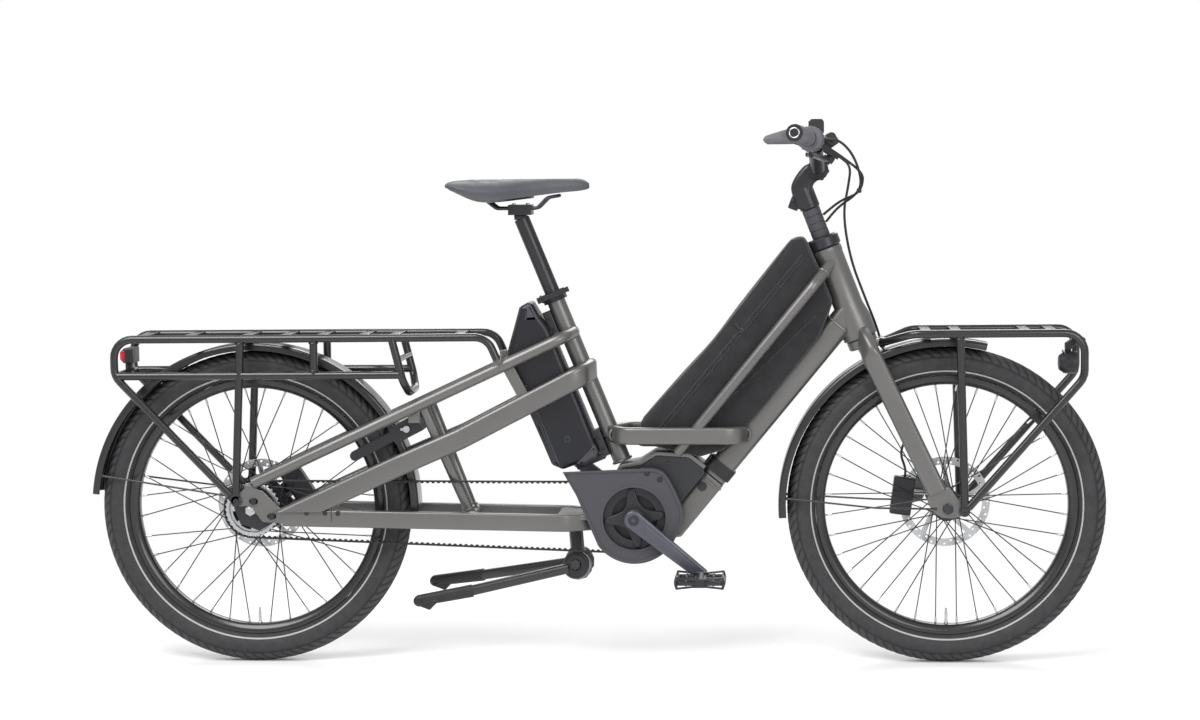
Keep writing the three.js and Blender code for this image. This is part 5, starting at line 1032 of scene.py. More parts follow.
def pedal(side, name):
    """A platform pedal with windows, pins and curved cheeks."""
    middle = CRANK + crank_way(side) * CRANK_LENGTH
    y = side * 156

    def box(cx, cy, width, depth, corner):
        return [(middle.x + cx + px * 1000, y + cy + py * 1000) for px, py in soft_box(width, depth, corner)]

    windows = [box(end * 26, far * 20.5, 28, 32, 4) for end in BOTH for far in BOTH]
    body = plate(box(0, 0, 100, 90, 12), 9, middle.z, windows, edge=2, rounding=2, lying=True)
    barrel = rod(P(middle.x, y - 46, middle.z), P(middle.x, y + 46, middle.z), 8.5, 1, 28)
    pins = []
    for px in (-44, -26, 26, 44):
        for py in (-41, 0, 41):
            at = P(middle.x + px, y + py, middle.z)
            pins.append(stretched(at - P(0, 0, 9), at + P(0, 0, 9), 1.7))
    pins = painted(copied(stick(), pins), "steel")
    top = [(-49, 3), (-46, 12), (-14, 8.5), (14, 8.5), (46, 12), (49, 3)]
    rail = shares(top + mirrored(top), middle, 1)
    gaps = [((s * 10, 4.5), (s * 42, 8), (s * 44, 0), (s * 42, -8), (s * 10, -4.5)) for s in BOTH]
    gaps = [shares(gap, middle, 1) for gap in gaps]
    cheeks = [plate(rail, 7, y + end * 43, gaps, edge=1.2) for end in BOTH]
    painted([body, barrel, *cheeks], "alloy")
    pieces = [body, barrel, pins, *cheeks]
    done(pieces, f"pedal_body_{name}", f"pedal_{name[0]}", f"pedal_{name}")


class BIKE_OT_cranks(bpy.types.Operator):
    """Cranks, spider and pedals"""

    bl_idname = "bike.cranks"
    bl_label = "Cranks and pedals"

    def execute(self, context):
        for side, name in SIDES:
            crank(side, name)
            pedal(side, name)
        return {"FINISHED"}


def shrunk(points, center, by):
    """The outline drawn in towards a center."""
    out = []
    for x, z in points:
        reach = math.hypot(x - center.x, z - center.z)
        out.append((center.x + (x - center.x) * (1 - by / reach), center.z + (z - center.z) * (1 - by / reach)))
    return out


class BIKE_OT_motor(bpy.types.Operator):
    """Motor, its cover and the belt guard"""

    bl_idname = "bike.motor"
    bl_label = "Motor and belt guard"

    def execute(self, context):
        edge = ((-1.27, 0.52), (-1.56, 1.03), (0.48, 1.11), (0.73, 0.99), (1.09, 0.21), (1.07, -0.12))
        corners = shares(edge, CRANK, 90)
        low = arc(CRANK, 90, -14, -143, 36)
        turn = [(corners[2][0] - 30, corners[2][1] - 1), *corners[2:], low[0]]
        turn = eased([P(x, 0, z) for x, z in turn], 3)
        right = [(p.x, p.z) for p in turn]
        outline = corners[:2] + right + low[1:]
        border = plate(outline, 5.4, -64.3, [shrunk(outline, CRANK, 7)], edge=1.5, rounding=2)
        face = plate(shrunk(outline, CRANK, 6), 3, -63.6, [circle(CRANK, 62, 64)], edge=0.4)
        collar = spun([(62, -66.6), (66, -66), (66, -61.5), (62, -61.5)], P(CRANK.x, 0, CRANK.z), steps=64, ring=True)
        outer = right + arc(CRANK, 90, -15, -122, 30)
        wall = plate(outer + list(reversed(shrunk(outer, CRANK, 3.5))), 15.5, -56.8, edge=0.4)
        pieces = [border, face, collar, wall]
        painted(pieces, "guard")
        for u, v in ((0.57, 0.86), (0.29, 1.0)):
            at = P(CRANK.x + u * 90, -65.5, CRANK.z + v * 90)
            post = rod(at, at_side(at, -1, 40.3), 6)
            pieces += [painted(post, "alloy"), painted(bolt(at, (0, -1, 0), 4, 1.4), "dark_steel")]
        done(pieces, "belt_guard_shell", "frame", "belt_guard")

        dressed("motor_unit", "casing", 4)
        dressed("motor_cover", "paint", 3)
        face = [(0, 39.5), (58, 39.5), (58, 43), (55, 46), (30, 47), (26, 48.5), (12.5, 48.5), (12.5, 39.5)]
        cap = spun(face, P(CRANK.x, 0, CRANK.z), steps=64)
        bolts = [cap]
        for i in range(6):
            at = wheel_point(CRANK, i * 60 + 12, 49)
            bolts.append(bolt(P(at.x, 46, at.z), (0, 1, 0), 3.6, 2.4))
        done(bolts, "motor_side_cap", "frame", shade="alloy")
        heads = []
        for side in BOTH:
            spot = P(897, side * 27.4, 354)
            heads.append(rod(spot, at_side(spot, side, 30.5), 9, 0.8, 32))
            heads.append(bolt(at_side(spot, side, 30.3), (0, side, 0), 5, 2.5))
            for x, z in ((831, 402), (800, 414)):
                heads.append(bolt(P(x, side * 39.6, z), (0, side, 0), 4.2, 1.6))
        done(heads, "motor_cover_bolts", "frame", shade="dark_steel")
        return {"FINISHED"}


# Main frame


def side_rail(side, radius):
    """The rail from the head tube, past the bag, to the bracket."""
    top, foot = head_point(795), P(849, 0, 424)
    offsets = ((0, 20), (0.12, 58), (0.5, 58), (0.86, 59.5), (1, 42))
    return tube([at_side(between(top, foot, share), side, y) for share, y in offsets], radius, 30)


def upper_stay(side, radius):
    """The stay from the dropout to the seat tube."""
    rear, front = P(6, 0, 368), seat_point(657)
    offsets = ((0, 70), (0.23, 70), (0.467, 60), (0.988, 60), (1.012, 10))
    return tube([at_side(between(rear, front, share), side, y) for share, y in offsets], radius, 34)


def dropout_outline():
    """The right plate's outline; the left one mirrors it."""
    table = (
        (-0.08, 0.76), (0.37, 0.54), (0.88, 0.03), (1.13, 0.06), (1.6, 0.06), (1.6, -0.4), (0.35, -0.33), (0.13, -0.04),
        (-0.07, 0.13), (-0.45, 0.12), (-0.56, 0.28), (-0.45, 0.44), (-0.2, 0.59),
    )
    return round_corners(shares(table, REAR, 70), 7)


def cut_below(obj, level):
    """Takes off what lies under a level, and closes the cut."""
    with editing(obj):
        bpy.ops.mesh.bisect(plane_co=(0, 0, level / 1000), plane_no=(0, 0, 1), use_fill=True, clear_inner=True)
    return obj


def frame_half(side):
    """The tubes, plates and weld beads of one side."""
    s = sizes()
    rear = seat_point(458)
    step = [at_side(rear, side, 10), P(rear.x + 30, side * 61, 458), P(962, side * 61, 458), P(992, side * 10, 458)]
    bend, front = P(420, 0, 454), seat_point(580)
    lower = [
        P(34, side * 70, 283), P(300, side * 70, 403), P(420, side * 60, 454),
        at_side(between(bend, front, 0.984), side, 60), at_side(between(bend, front, 1.045), side, 10),
    ]
    back, ahead = P(64, 0, 299), P(660, 0, 286)
    chain = [
        at_side(back, side, 68), at_side(between(back, ahead, 0.945), side, 68),
        at_side(between(back, ahead, 0.995), side, 50), P(688.7, side * 31, 286),
    ]
    brace = [P(344, side * 52, 524), P(436, side * 21.8, 297)]
    slots = []
    for u, v in ((0.1, 0.264), (0.614, -0.164)):
        x, z = REAR.x + u * 70, REAR.z + v * 70
        slots.append(arc((x + 3.75, z), 4.75, -90, 90, 10) + arc((x - 3.75, z), 4.75, 90, 270, 10))
    gusset = [(500, 603), (521, 612), (568, 521), (548, 513)]
    pieces = [
        side_rail(side, s.rail * 1000),
        upper_stay(side, s.stay * 1000),
        bar(step, 18, 34, 6),
        cut_below(bar(lower, 22, 42, 8), 311),
        bar(chain, 17, 34, 4),
        tube(brace, 11),
        plate(dropout_outline(), 8, side * 71.6, slots, edge=1.2, rounding=2),
        plate(gusset, 8, side * 58, edge=1.5),
        block(P(497, side * 64.9, 608), (18, 10.5, 26), 0, 2.5),
    ]
    tab = wheel_point(REAR, 27, 378)
    pieces.append(block(P(tab.x - 8, side * 53, tab.z + 15), (24, 14, 30), 0, 2.5))
    bead_size = s.weld * 1000
    spots = [
        (between(step[0], step[1], 0.35), step[1] - step[0], 13),
        (between(step[3], step[2], 0.35), step[2] - step[3], 13),
        (brace[0] + (brace[1] - brace[0]) * 0.035, brace[1] - brace[0], 11.5),
        (brace[1] + (brace[0] - brace[1]) * 0.06, brace[1] - brace[0], 11.5),
    ]
    top, foot = head_point(795), P(849, 0, 424)
    rail_end = at_side(between(top, foot, 0.055), side, 37)
    spots.append((rail_end, at_side(between(top, foot, 0.12), side, 58) - at_side(top, side, 20), 11.5))
    for point, axis, radius in spots:
        pieces.append(bead(point, axis, radius, bead_size))
    return pieces


def box_bead(center, thick):
    """A weld bead round the down tube."""
    side = Vector((0, 1, 0))
    up = DOWN_UP.cross(side).normalized()
    points = [center + side * (px * 1000) + up * (py * 1000) for px, py in soft_box(57, 51, 15)]
    return tube([*points, points[0]], thick, 1, 8)


class BIKE_OT_frame(bpy.types.Operator):
    """Main frame: tubes, stays, dropouts and weld beads"""

    bl_idname = "bike.frame"
    bl_label = "Main frame"

    def execute(self, context):
        far = (head_point(822) - head_point(646)).length
        profile = [
            (14.8, 0), (32.6, 0), (34, 1.4), (34, far / 5), (32.6, far / 4), (29.9, far / 3.1), (29, far / 2.8),
            (29, far - 14), (30, far - 12), (30, far - 1.2), (29, far), (14.8, far),
        ]
        pieces = [
            spun(profile, head_point(646), HEAD_UP, 64, ring=True),
            bar([down_point(699), down_point(372)], 56, 50, 15),
            rod(seat_point(402), seat_point(724), 18, 0.5, 40),
            rod(seat_point(700), seat_point(731), 18.1, 0.8, 40, 15.7),
            bar(BRACKET, 84, 8, 1.5, 12),
            rod(P(366, -60, 533), P(366, 60, 533), 9),
            rod(P(436, -68, 297), P(436, 68, 297), 11),
            block(P(641, 0, 296), (62, 122, 10), 0, 2),
        ]
        for side in BOTH:
            pieces += frame_half(side)
        pieces += [box_bead(down_point(699) - DOWN_UP * 36, 2.8), box_bead(down_point(362), 2.2)]
        pieces.append(bead(seat_point(404), SEAT_UP, 18.6, 2.6))
        pieces += [bead(seat_point(level), SEAT_UP, 18.2, 2.2) for level in (458, 580, 657)]
        done(pieces, "frame_tubes", "frame", "main_frame", "paint")

        for name in ("dropout_right", "dropout_left"):
            dressed(name, "alloy", 0.9)
        cover = rod(head_point(822) + HEAD_UP * 0.3, head_point(822) + HEAD_UP * 24.3, 32, 3.5, 56, 14.8)
        done(cover, "headset_cup", "frame", "headset_cover", "alloy")
        bolts = []
        for side in BOTH:
            for x, z in ((113, 309), (150, 308.5), (176, 308)):
                bolts.append(bolt(P(x, side * 76.3, z), (0, side, 0), 5, 1.6))
        seam = [block(P(163, side * 76.7, 306), (1.4, 0.8, 30), 0, 0) for side in BOTH]
        done(bolts + seam, "frame_split_bolts", "frame", shade="dark_steel")
        strap = down_point(387)
        buckle = [strap + DOWN_UP * 10 - DOWN_FRONT * 30, strap - DOWN_UP * 9 - DOWN_FRONT * 30]
        strap = bar([strap + DOWN_UP * 12.5, strap - DOWN_UP * 12.5], 62, 58, 17)
        buckle = bar(buckle, 40, 5, 2)
        done([strap, buckle], "tube_strap", "frame", shade="rubber")
        return {"FINISHED"}


BATTERY_DEPTH, BATTERY_HEIGHT = 92, 352


def battery_at(reach, rise):
    """A place beside the seat tube: ahead of its middle by reach, up along it by rise."""
    return seat_point(722) + SEAT_FRONT * (reach - 24) + SEAT_UP * rise


def battery_shares(pairs):
    """Places given in shares of the battery's depth and height."""
    return [battery_at(u * BATTERY_DEPTH, v * BATTERY_HEIGHT) for u, v in pairs]


class BIKE_OT_battery(bpy.types.Operator):
    """Rear battery on its holder"""

    bl_idname = "bike.battery"
    bl_label = "Battery"

    def execute(self, context):
        def side_view(pairs, corner):
            return round_corners([(p.x, p.z) for p in battery_shares(pairs)], corner)

        table = (
            (-0.213, 0.056), (-0.455, 0.051), (-1.198, -0.201), (-1.148, -0.844), (-0.973, -0.89), (-0.16, -0.9),
            (-0.1, -0.83), (-0.075, -0.2), (-0.09, -0.117), (-0.15, -0.05),
        )
        pieces = [painted(plate(side_view(table, 8), 78, 0, edge=9, rounding=4), "battery")]
        lid = ((-0.22, 0.047), (-0.4, 0.044), (-0.53, -0.034), (-0.17, -0.062))
        dock = ((-0.69, -0.885), (-0.112, -0.815), (-0.115, -0.875), (-0.19, -0.905), (-0.5, -0.915))
        spine = ((-1.165, -0.36), (-1.15, -0.835), (-0.99, -0.88), (-0.94, -0.86), (-0.95, -0.36))
        for pairs, thick, shade in ((lid, 78.8, "guard"), (dock, 79.6, "guard"), (spine, 79.6, "casing")):
            pieces.append(painted(plate(side_view(pairs, 3), thick, 0, edge=7, rounding=3), shade))
        back = battery_shares([(-0.43, 0.036), (-1.13, -0.2), (-1.115, -0.345)])
        pieces.append(painted(bar(back, 60, 15, 6, 30), "screen"))
        knob, *seam = battery_shares([(-0.62, -0.74), (-0.7, -0.872), (-0.13, -0.8)])
        for side in BOTH:
            pieces.append(painted(tube([at_side(p, side, 38.8) for p in seam], 0.9, sides=8), "rubber"))
        pieces.append(painted(rod(at_side(knob, -1, 38.6), at_side(knob, -1, 40), 8, 0.6, 32, 3), "dark_steel"))
        done(pieces, "battery_case", "frame", "rear_battery")
        pieces = [
            bar([battery_at(-1, -12), battery_at(-1, -58)], 34, 17, 2.5),
            bar([battery_at(-1, -266), battery_at(-1, -322)], 42, 17, 2.5),
            bar([battery_at(-8, -50), battery_at(-8, -280)], 48, 5, 1.5),
            bar([battery_at(-34, -316), battery_at(-34, -326)], 44, 60, 3),
        ]
        for side in BOTH:
            for rise in (-25, -48, -282, -306):
                spot = battery_at(-1, rise)
                wide = 17 if rise > -100 else 21
                pieces.append(bolt(at_side(spot, side, wide - 0.4), (0, side, 0), 3.4, 1.8))
        done(pieces, "battery_brackets", "frame", "battery_mount", "casing")
        return {"FINISHED"}


# The bag's outline in shares of its width and height, and its lower rear corner with both
BAG = (
    (0.025, 0.173), (0.364, 0.537), (0.75, 0.989), (0.807, 1), (0.879, 0.849), (0.94, 0.706), (0.87, 0.545),
    (0.61, 0.235), (0.42, 0.045), (0.3, 0.015), (0.15, 0.049), (0.1, 0.063), (0, 0.065),
)
BAG_PLACE = (P(764, 0, 404), 420, 445)
BAG_MIDDLE = P(960, 0, 640)


def skin_side(obj, x, z, side, out):
    """The place on a soft piece's side face, seen from that side."""
    hit, spot, *_ = obj.ray_cast(metres(P(x, side * 300, z)), Vector((0, -side, 0)))
    y = spot.y * 1000 if hit else side * 40
    return P(x, y + side * out, z)


def drape(obj, steps, limit):
    """Lets a closed cloth piece fill out under a little pressure."""
    rest = np.empty(len(obj.data.vertices) * 3)
    obj.data.vertices.foreach_get("co", rest)
    copy = obj.copy()
    copy.data = obj.data.copy()
    bpy.context.scene.collection.objects.link(copy)
    only(copy)
    cloth = modifier(copy, "Cloth", "CLOTH").settings
    cloth.use_pressure = True
    cloth.uniform_pressure_force = 4
    cloth.effector_weights.gravity = 0
    cloth.quality = 5
    cloth.tension_stiffness = 12
    cloth.bending_stiffness = 0.4
    for step in range(1, steps + 1):
        bpy.context.scene.frame_set(step)
    shaped = copy.evaluated_get(bpy.context.evaluated_depsgraph_get())
    moved = np.empty(len(rest))
    shaped.data.vertices.foreach_get("co", moved)
    bpy.context.scene.frame_set(1)
    mesh = copy.data
    bpy.data.objects.remove(copy)
    bpy.data.meshes.remove(mesh)
    shift = (moved - rest).reshape(-1, 3)
    far = np.linalg.norm(shift, axis=1)
    shift *= np.minimum(1, limit / np.maximum(far, 1e-9))[:, None]
    obj.data.vertices.foreach_set("co", rest + shift.ravel())
    obj.data.update()
    only(obj)


def cut_away(obj, tool):
    """Takes the tool's room out of the piece."""
    modified(obj, "Gap", "BOOLEAN", operation="DIFFERENCE", solver="EXACT", object=tool)
    bpy.data.objects.remove(tool)


class BIKE_OT_bag(bpy.types.Operator):
    """Frame bag of cloth, with piping, a zip and a top panel"""

    bl_idname = "bike.bag"
    bl_label = "Frame bag"

    def execute(self, context):
        outline = round_corners(shares(BAG, *BAG_PLACE), 9)
        body = plate(outline, 82, 0, edge=6, rounding=4)
        modified(body, "Fine", "REMESH", mode="VOXEL", voxel_size=0.006)
        drape(body, 16, 0.002)
        middle = metres(BAG_MIDDLE)
        for spot in body.data.vertices:
            x, y, z = spot.co
            share = min(1, abs(y) / 0.040)
            fold = fold_noise(Vector((x * 13, y * 4 + 3, z * 9))) * 0.0045
            fold += fold_noise(Vector((x * 34, y * 6, z * 30))) * 0.0016
            away = ((x - middle.x) ** 2 + (z - middle.z) ** 2) ** 0.5
            crown = 0.0035 * max(0, 1 - away / 0.2)
            if share > 0.55:
                spot.co.y += math.copysign((crown + fold) * (share - 0.55) / 0.45, y)
        modified(body, "Smooth", "SMOOTH", factor=0.5, iterations=4)
        for tool in (
            rod(head_point(640), head_point(840), 34.8, 0.1, 48),
            bar([down_point(720), down_point(360)], 57.5, 51.5, 15),
            bar(BRACKET, 85, 10, 1, 12),
        ):
            cut_away(body, tool)
        painted(body, "cloth")
        pieces = [body]
        inward = P(0.76, 0, -0.65)
        ends = shares([(0.03, 0.15), (0.76, 0.975), (0.2, 0.06), (0.9, 0.69)], *BAG_PLACE)
        low, high, foot, head = (P(x, 0, z) for x, z in ends)
        for side in BOTH:
            ring = [skin_side(body, x, z, side, 0.4) for x, z in shrunk(outline, BAG_MIDDLE, 7)]
            keep = [p for p in ring if (p - down_point(p.z, p.y)).dot(DOWN_FRONT) < -27]
            start = max(range(len(keep)), key=lambda i: (keep[i] - keep[i - 1]).length)
            pieces.append(painted(tube(keep[start:] + keep[:start], 1.7, 3, 8), "panel"))
            for reach, thick, shade in ((27, 1.6, "panel"), (30.5, 1.3, "rubber"), (34, 1.6, "panel")):
                line = [between(low, high, i / 40) + inward * reach for i in range(1, 40)]
                line = [skin_side(body, p.x, p.z, side, 0.2) for p in line]
                pieces.append(painted(tube(line, thick, 3, 8), shade))
            line = [between(foot, head, i / 30) for i in range(2, 29)]
            line = [skin_side(body, p.x, p.z, side, 0.1) for p in line]
            pieces.append(painted(tube(line, 1.1, 3, 8), "panel"))
            pull = between(low, high, 0.58) + inward * 30
            pull = skin_side(body, pull.x, pull.z, side, 2)
            pieces.append(painted(block(pull, (10, 3, 7), 50, 0.8), "dark_steel"))
            pieces.append(painted(block(pull + P(-7, side * 1.5, 7), (6, 2, 17), 35, 0.8), "rubber"))
        done(pieces, "bag_cloth_shell", "frame", "frame_bag", angle=50)
        return {"FINISHED"}


# Seat


SADDLE_BACK, SADDLE_LENGTH, SADDLE_HALF, SADDLE_TOP = 397, 280, 84, 962
# Shares of the saddle's length, half width, dip of its top and depth of its skirt, from back to front
STATIONS = (
    (0, 0.7, 0.12, 0.3), (0.03, 0.86, 0, 0.38), (0.08, 0.95, -0.06, 0.52), (0.14, 1, -0.1, 0.74),
    (0.22, 0.985, -0.12, 0.95), (0.31, 0.93, -0.12, 1), (0.38, 0.84, -0.12, 0.97), (0.45, 0.7, -0.12, 0.92),
    (0.52, 0.56, -0.13, 0.86), (0.6, 0.45, -0.14, 0.8), (0.7, 0.36, -0.15, 0.72), (0.82, 0.3, -0.15, 0.62),
    (0.93, 0.26, -0.1, 0.56), (0.98, 0.2, 0.06, 0.5), (1, 0.14, 0.24, 0.42),
)


class BIKE_OT_seat(bpy.types.Operator):
    """Saddle, its rails and clamp, the post and its collar"""

    bl_idname = "bike.seat"
    bl_label = "Seat"

    def execute(self, context):
        table = np.array(STATIONS)
        share = [np.linspace(0, 0.08, 10)[:-1], np.linspace(0.08, 0.95, 58), np.linspace(0.95, 1, 8)[1:]]
        share = np.concatenate(share)
        smooth = [np.interp(share, table[:, 0], table[:, i]) for i in range(4)]
        kernel = np.array([1, 2, 3, 2, 1]) / 9
        for i in range(1, 4):
            padded = np.concatenate([smooth[i][:1].repeat(2), smooth[i], smooth[i][-1:].repeat(2)])
            smooth[i][2:-2] = np.convolve(padded, kernel, "valid")[2:-2]
        rows = []
        for u, width, drop, hang in zip(*smooth):
            half = width * SADDLE_HALF
            foot = SADDLE_TOP - hang * 40
            top = SADDLE_TOP - drop * 27
            row = []
            for i in range(45):
                turn = math.pi * i / 44
                y = -math.cos(turn)
                rise = max(0.0, math.sin(turn)) ** 0.5
                z = foot + (top - foot) * (0.02 + 0.98 * rise)
                groove = 3.2 * math.exp(-((y * half) / 7) ** 2) * min(1, max(0, (0.93 - u) * 5)) * min(1, u * 12)
                quilt = 0.0
                for line in (0.21, 0.365):
                    quilt += 2.4 * math.exp(-((u - line) / 0.007) ** 2) * (1 if abs(y) < 0.9 else 0.3)
                for line in (-0.55, 0.55):
                    quilt += 1.6 * math.exp(-((y - line) / 0.035) ** 2) * (1 if u < 0.37 else 0)
                crown = -1.5 * (y * y)
                across = y * half * (1 - 0.04 * (rise < 0.3))
                row.append(P(SADDLE_BACK + u * SADDLE_LENGTH, across, z - groove - quilt + crown * rise))
            for i in range(1, 16):
                y = 1 - 2 * i / 16
                row.append(P(SADDLE_BACK + u * SADDLE_LENGTH, y * half * 0.95, foot + 5 - 5 * abs(y) ** 4))
            rows.append(row)
        cover = lofted(rows)
        done(cover, "saddle_pad", "seat", "saddle", "saddle", 60)
        rows = []
        for u, width, drop, hang in zip(*smooth):
            if not 0.02 < u < 0.6:
                continue
            foot, half = SADDLE_TOP - hang * 40, width * SADDLE_HALF * 0.93
            edge = [P(SADDLE_BACK + u * SADDLE_LENGTH, half * (2 * i / 24 - 1), foot + 3) for i in range(25)]
            turns = [1 - 2 * i / 24 for i in range(25)]
            under = [P(SADDLE_BACK + u * SADDLE_LENGTH, half * 0.94 * y, foot - 3.4 * (1 - abs(y) ** 6)) for y in turns]
            rows.append(edge + under)
        done(lofted(rows), "saddle_base", "seat", shade="casing")
        half = [P(464.2, 22, 931.2), P(495, 22, 907), P(575.5, 22, 907), P(596.2, 22, 927.7), P(618.2, 11, 931.2)]
        line = flipped(half) + list(reversed(half))
        rails = tube(line, 3.5, 12, 12)
        done(rails, "saddle_rail_bars", "seat", "saddle_rails", "dark_steel")
        top = seat_point(886)
        post = rod(top - SEAT_UP * 345, top + SEAT_UP * 1, 15.4, 1.5, 40)
        head = bar([P(529, 0, 890), P(553, 0, 890)], 30, 12, 4)
        marks = [bead(top - SEAT_UP * (100 + 10 * i), SEAT_UP, 15.3, 0.22) for i in range(5)]
        done([post, head, *marks], "seatpost_tube", "seat", "seatpost", "alloy")
        dressed("saddle_clamp", "alloy", 1.5)
        bolts = [bolt(P(541 + dx, 0, 914), (0, 0, 1), 4, 3) for dx in (-14, 14)]
        done(bolts, "saddle_clamp_bolts", "seat", shade="steel")
        dressed("seat_clamp", "alloy", 1)
        dressed("seat_clamp_lever", "alloy", 1.4)
        return {"FINISHED"}


# Racks and what they carry


def slat(x, level):
    """A flat cross bar with its two bolts."""
    strip = block(P(x, 0, level), (sizes().slat * 1000, 156, 4.6), 0, 0.9)
    heads = [bolt(P(x, side * 70, level + 2), (0, 0, 1), 4, 1.6) for side in BOTH]
    return [painted(strip, "powder"), *painted(heads, "dark_steel")]


class BIKE_OT_racks(bpy.types.Operator):
    """Rear and front racks"""

    bl_idname = "bike.racks"
    bl_label = "Racks"

    def execute(self, context):
        radius = sizes().rack * 1000
        pieces = []
        for side in BOTH:
            y = side * RACK_SIDE
            tail, foot = P(-266, y, LOW_RAIL), P(REAR_EYE[0], y, REAR_EYE[1])
            inward = (foot - tail).normalized()
            tab = [(-21.5, 333), (-18, 360), (-34, 361), (-55, 360), (-47, 341), (-32.5, 326)]
            pieces += [
                tube([P(497, y, 612), P(478, y, REAR_DECK), P(-266, y, REAR_DECK), tail, foot - inward * 17], radius),
                rod(P(-12, y, REAR_DECK), P(-27, y, 350), radius),
                rod(P(-266, y, LOW_RAIL), P(308.2455, y, LOW_RAIL), radius),
                rod(P(134, y, REAR_DECK), P(134, y, LOW_RAIL), radius),
                plate(circle(REAR_EYE, 11), 5, side * 78.4, [circle(REAR_EYE, 3)]),
                plate(tab, 5, side * 78.4, edge=1),
                bead(P(134, y, 592.5), (0, 0, 1), 8.2, 1.6),
                bead(P(134, y, 646.5), (0, 0, 1), 8.2, 1.6),
                bead(P(-13, y, 646.5), (0, 0, 1), 8.2, 1.6),
            ]
            pieces.append(bolt(P(-27, side * 80.9, 333), (0, side, 0), 5.5, 3))
        half = [P(289, RACK_SIDE, REAR_DECK), P(310, RACK_SIDE, 572), P(318, 48, 546)]
        pieces.append(tube(flipped(half) + list(reversed(half)), radius, 26))
        pieces.append(tube([P(300, -RACK_SIDE, 612), P(303, RACK_SIDE, 612)], radius * 0.7))
        pieces.append(rod(P(-262, -RACK_SIDE, LOW_RAIL), P(-262, RACK_SIDE, LOW_RAIL), radius))
        pieces.append(block(P(-254, 0, 592), (14, 22, 25.2), 0, 1.5))
        painted(pieces, "powder")
        for share in (-0.82, -0.466, -0.03, 0.263, 0.538, 0.853, 1.09, 1.57):
            pieces += slat(share * 266, 658.8)
        done(pieces, "rear_rack_tubes", "frame", "rear_rack")

        pieces = []
        for side in BOTH:
            y = side * RACK_SIDE
            drop, foot = P(1640, y, 571), P(FRONT_EYE[0], y, FRONT_EYE[1])
            upward = (drop - foot).normalized()
            pieces += [
                tube([P(1253, side * 24, 637), P(1310, y, FRONT_DECK), P(1640, y, FRONT_DECK), drop,
                      foot + upward * 10], radius),
                rod(P(1401, y, FRONT_DECK), foot + P(0, 0, 10), radius),
                plate(circle(FRONT_EYE, 11), 5, side * 70.3, [circle(FRONT_EYE, 3)]),
                block(P(1410, side * 74, 316), (14, 10, 16), 0, 2),
                bead(P(1401, y, 647), (0, 0, 1), 8.2, 1.6),
                bolt(P(1410, side * 72.8, 309), (0, side, 0), 5.5, 3),
            ]
        pieces += [
            block(P(1253, 0, 637), (10, 56, 20), 0, 2),
            rod(P(1636, -RACK_SIDE, 643), P(1636, RACK_SIDE, 643), 6),
        ]
        for side in BOTH:
            cheek = [(1610, 620), (1622, 620), (1640, 641), (1632, 648), (1610, 632)]
            pieces.append(plate(round_corners(cheek, 3), 3, side * 4.8, edge=0.6))
            pieces.append(bolt(P(1616, side * 6.3, 626), (0, side, 0), 4, 2.5))
        painted(pieces, "powder")
        for share in (0.083, 0.26, 0.667, 0.82):
            pieces += slat(1310 + share * 330, 659.8)
        done(pieces, "front_rack_tubes", "steering", "front_rack")
        return {"FINISHED"}


def mudguard(center, start, end):
    """A thin curved guard; its arc runs between two angles."""
    outer = [(316, 34), (325.5, 34), (328.4, 33), (330.4, 30.4), (331, 26), (331.3, 14), (331.4, 0)]
    inner = [(r - 2.3, y - 2.4 if y > 27 else y) for r, y in outer]
    inner[0] = (316, 31.6)
    left = inner + mirrored(inner[:-1])
    section = outer + mirrored(outer[:-1]) + left[::-1]
    shell = spun(section, center, steps=int(abs(end - start) / 1.5), sweep=end - start, start=-start, ring=True)
    with editing(shell):
        bpy.ops.mesh.fill_holes(sides=0)
        bpy.ops.mesh.normals_make_consistent(inside=False)
    return shell


# Name, body, wheel, angles of the guard's ends and of its wire's eye, and the wire's way from the eye
GUARDS = (
    ("rear", "frame", REAR, -1.5, 175, 168, ((-27, 65.2, 338.5),)),
    ("front", "steering", FRONT, 76, 184, 177, ((1238, 67.5, 315.5), (1357, 69.8, 313.5))),
)


class BIKE_OT_guards(bpy.types.Operator):
    """Mudguards with their wire stays"""

    bl_idname = "bike.guards"
    bl_label = "Mudguards"

    def execute(self, context):
        for end, body, center, low, high, eye, route in GUARDS:
            pieces = [mudguard(center, low, high)]
            spot = wheel_point(center, eye, 316)
            for side in BOTH:
                line = [at_side(spot, side, 33), *(P(x, side * y, z) for x, y, z in route)]
                pieces.append(tube(line, sizes().wire * 1000, 20, 10))
                pieces.append(bolt(at_side(spot, side, 33.6), (0, side, 0), 3.5, 2))
            done(pieces, f"{end}_guard_shell", body, f"{end}_mudguard", "powder")
        return {"FINISHED"}


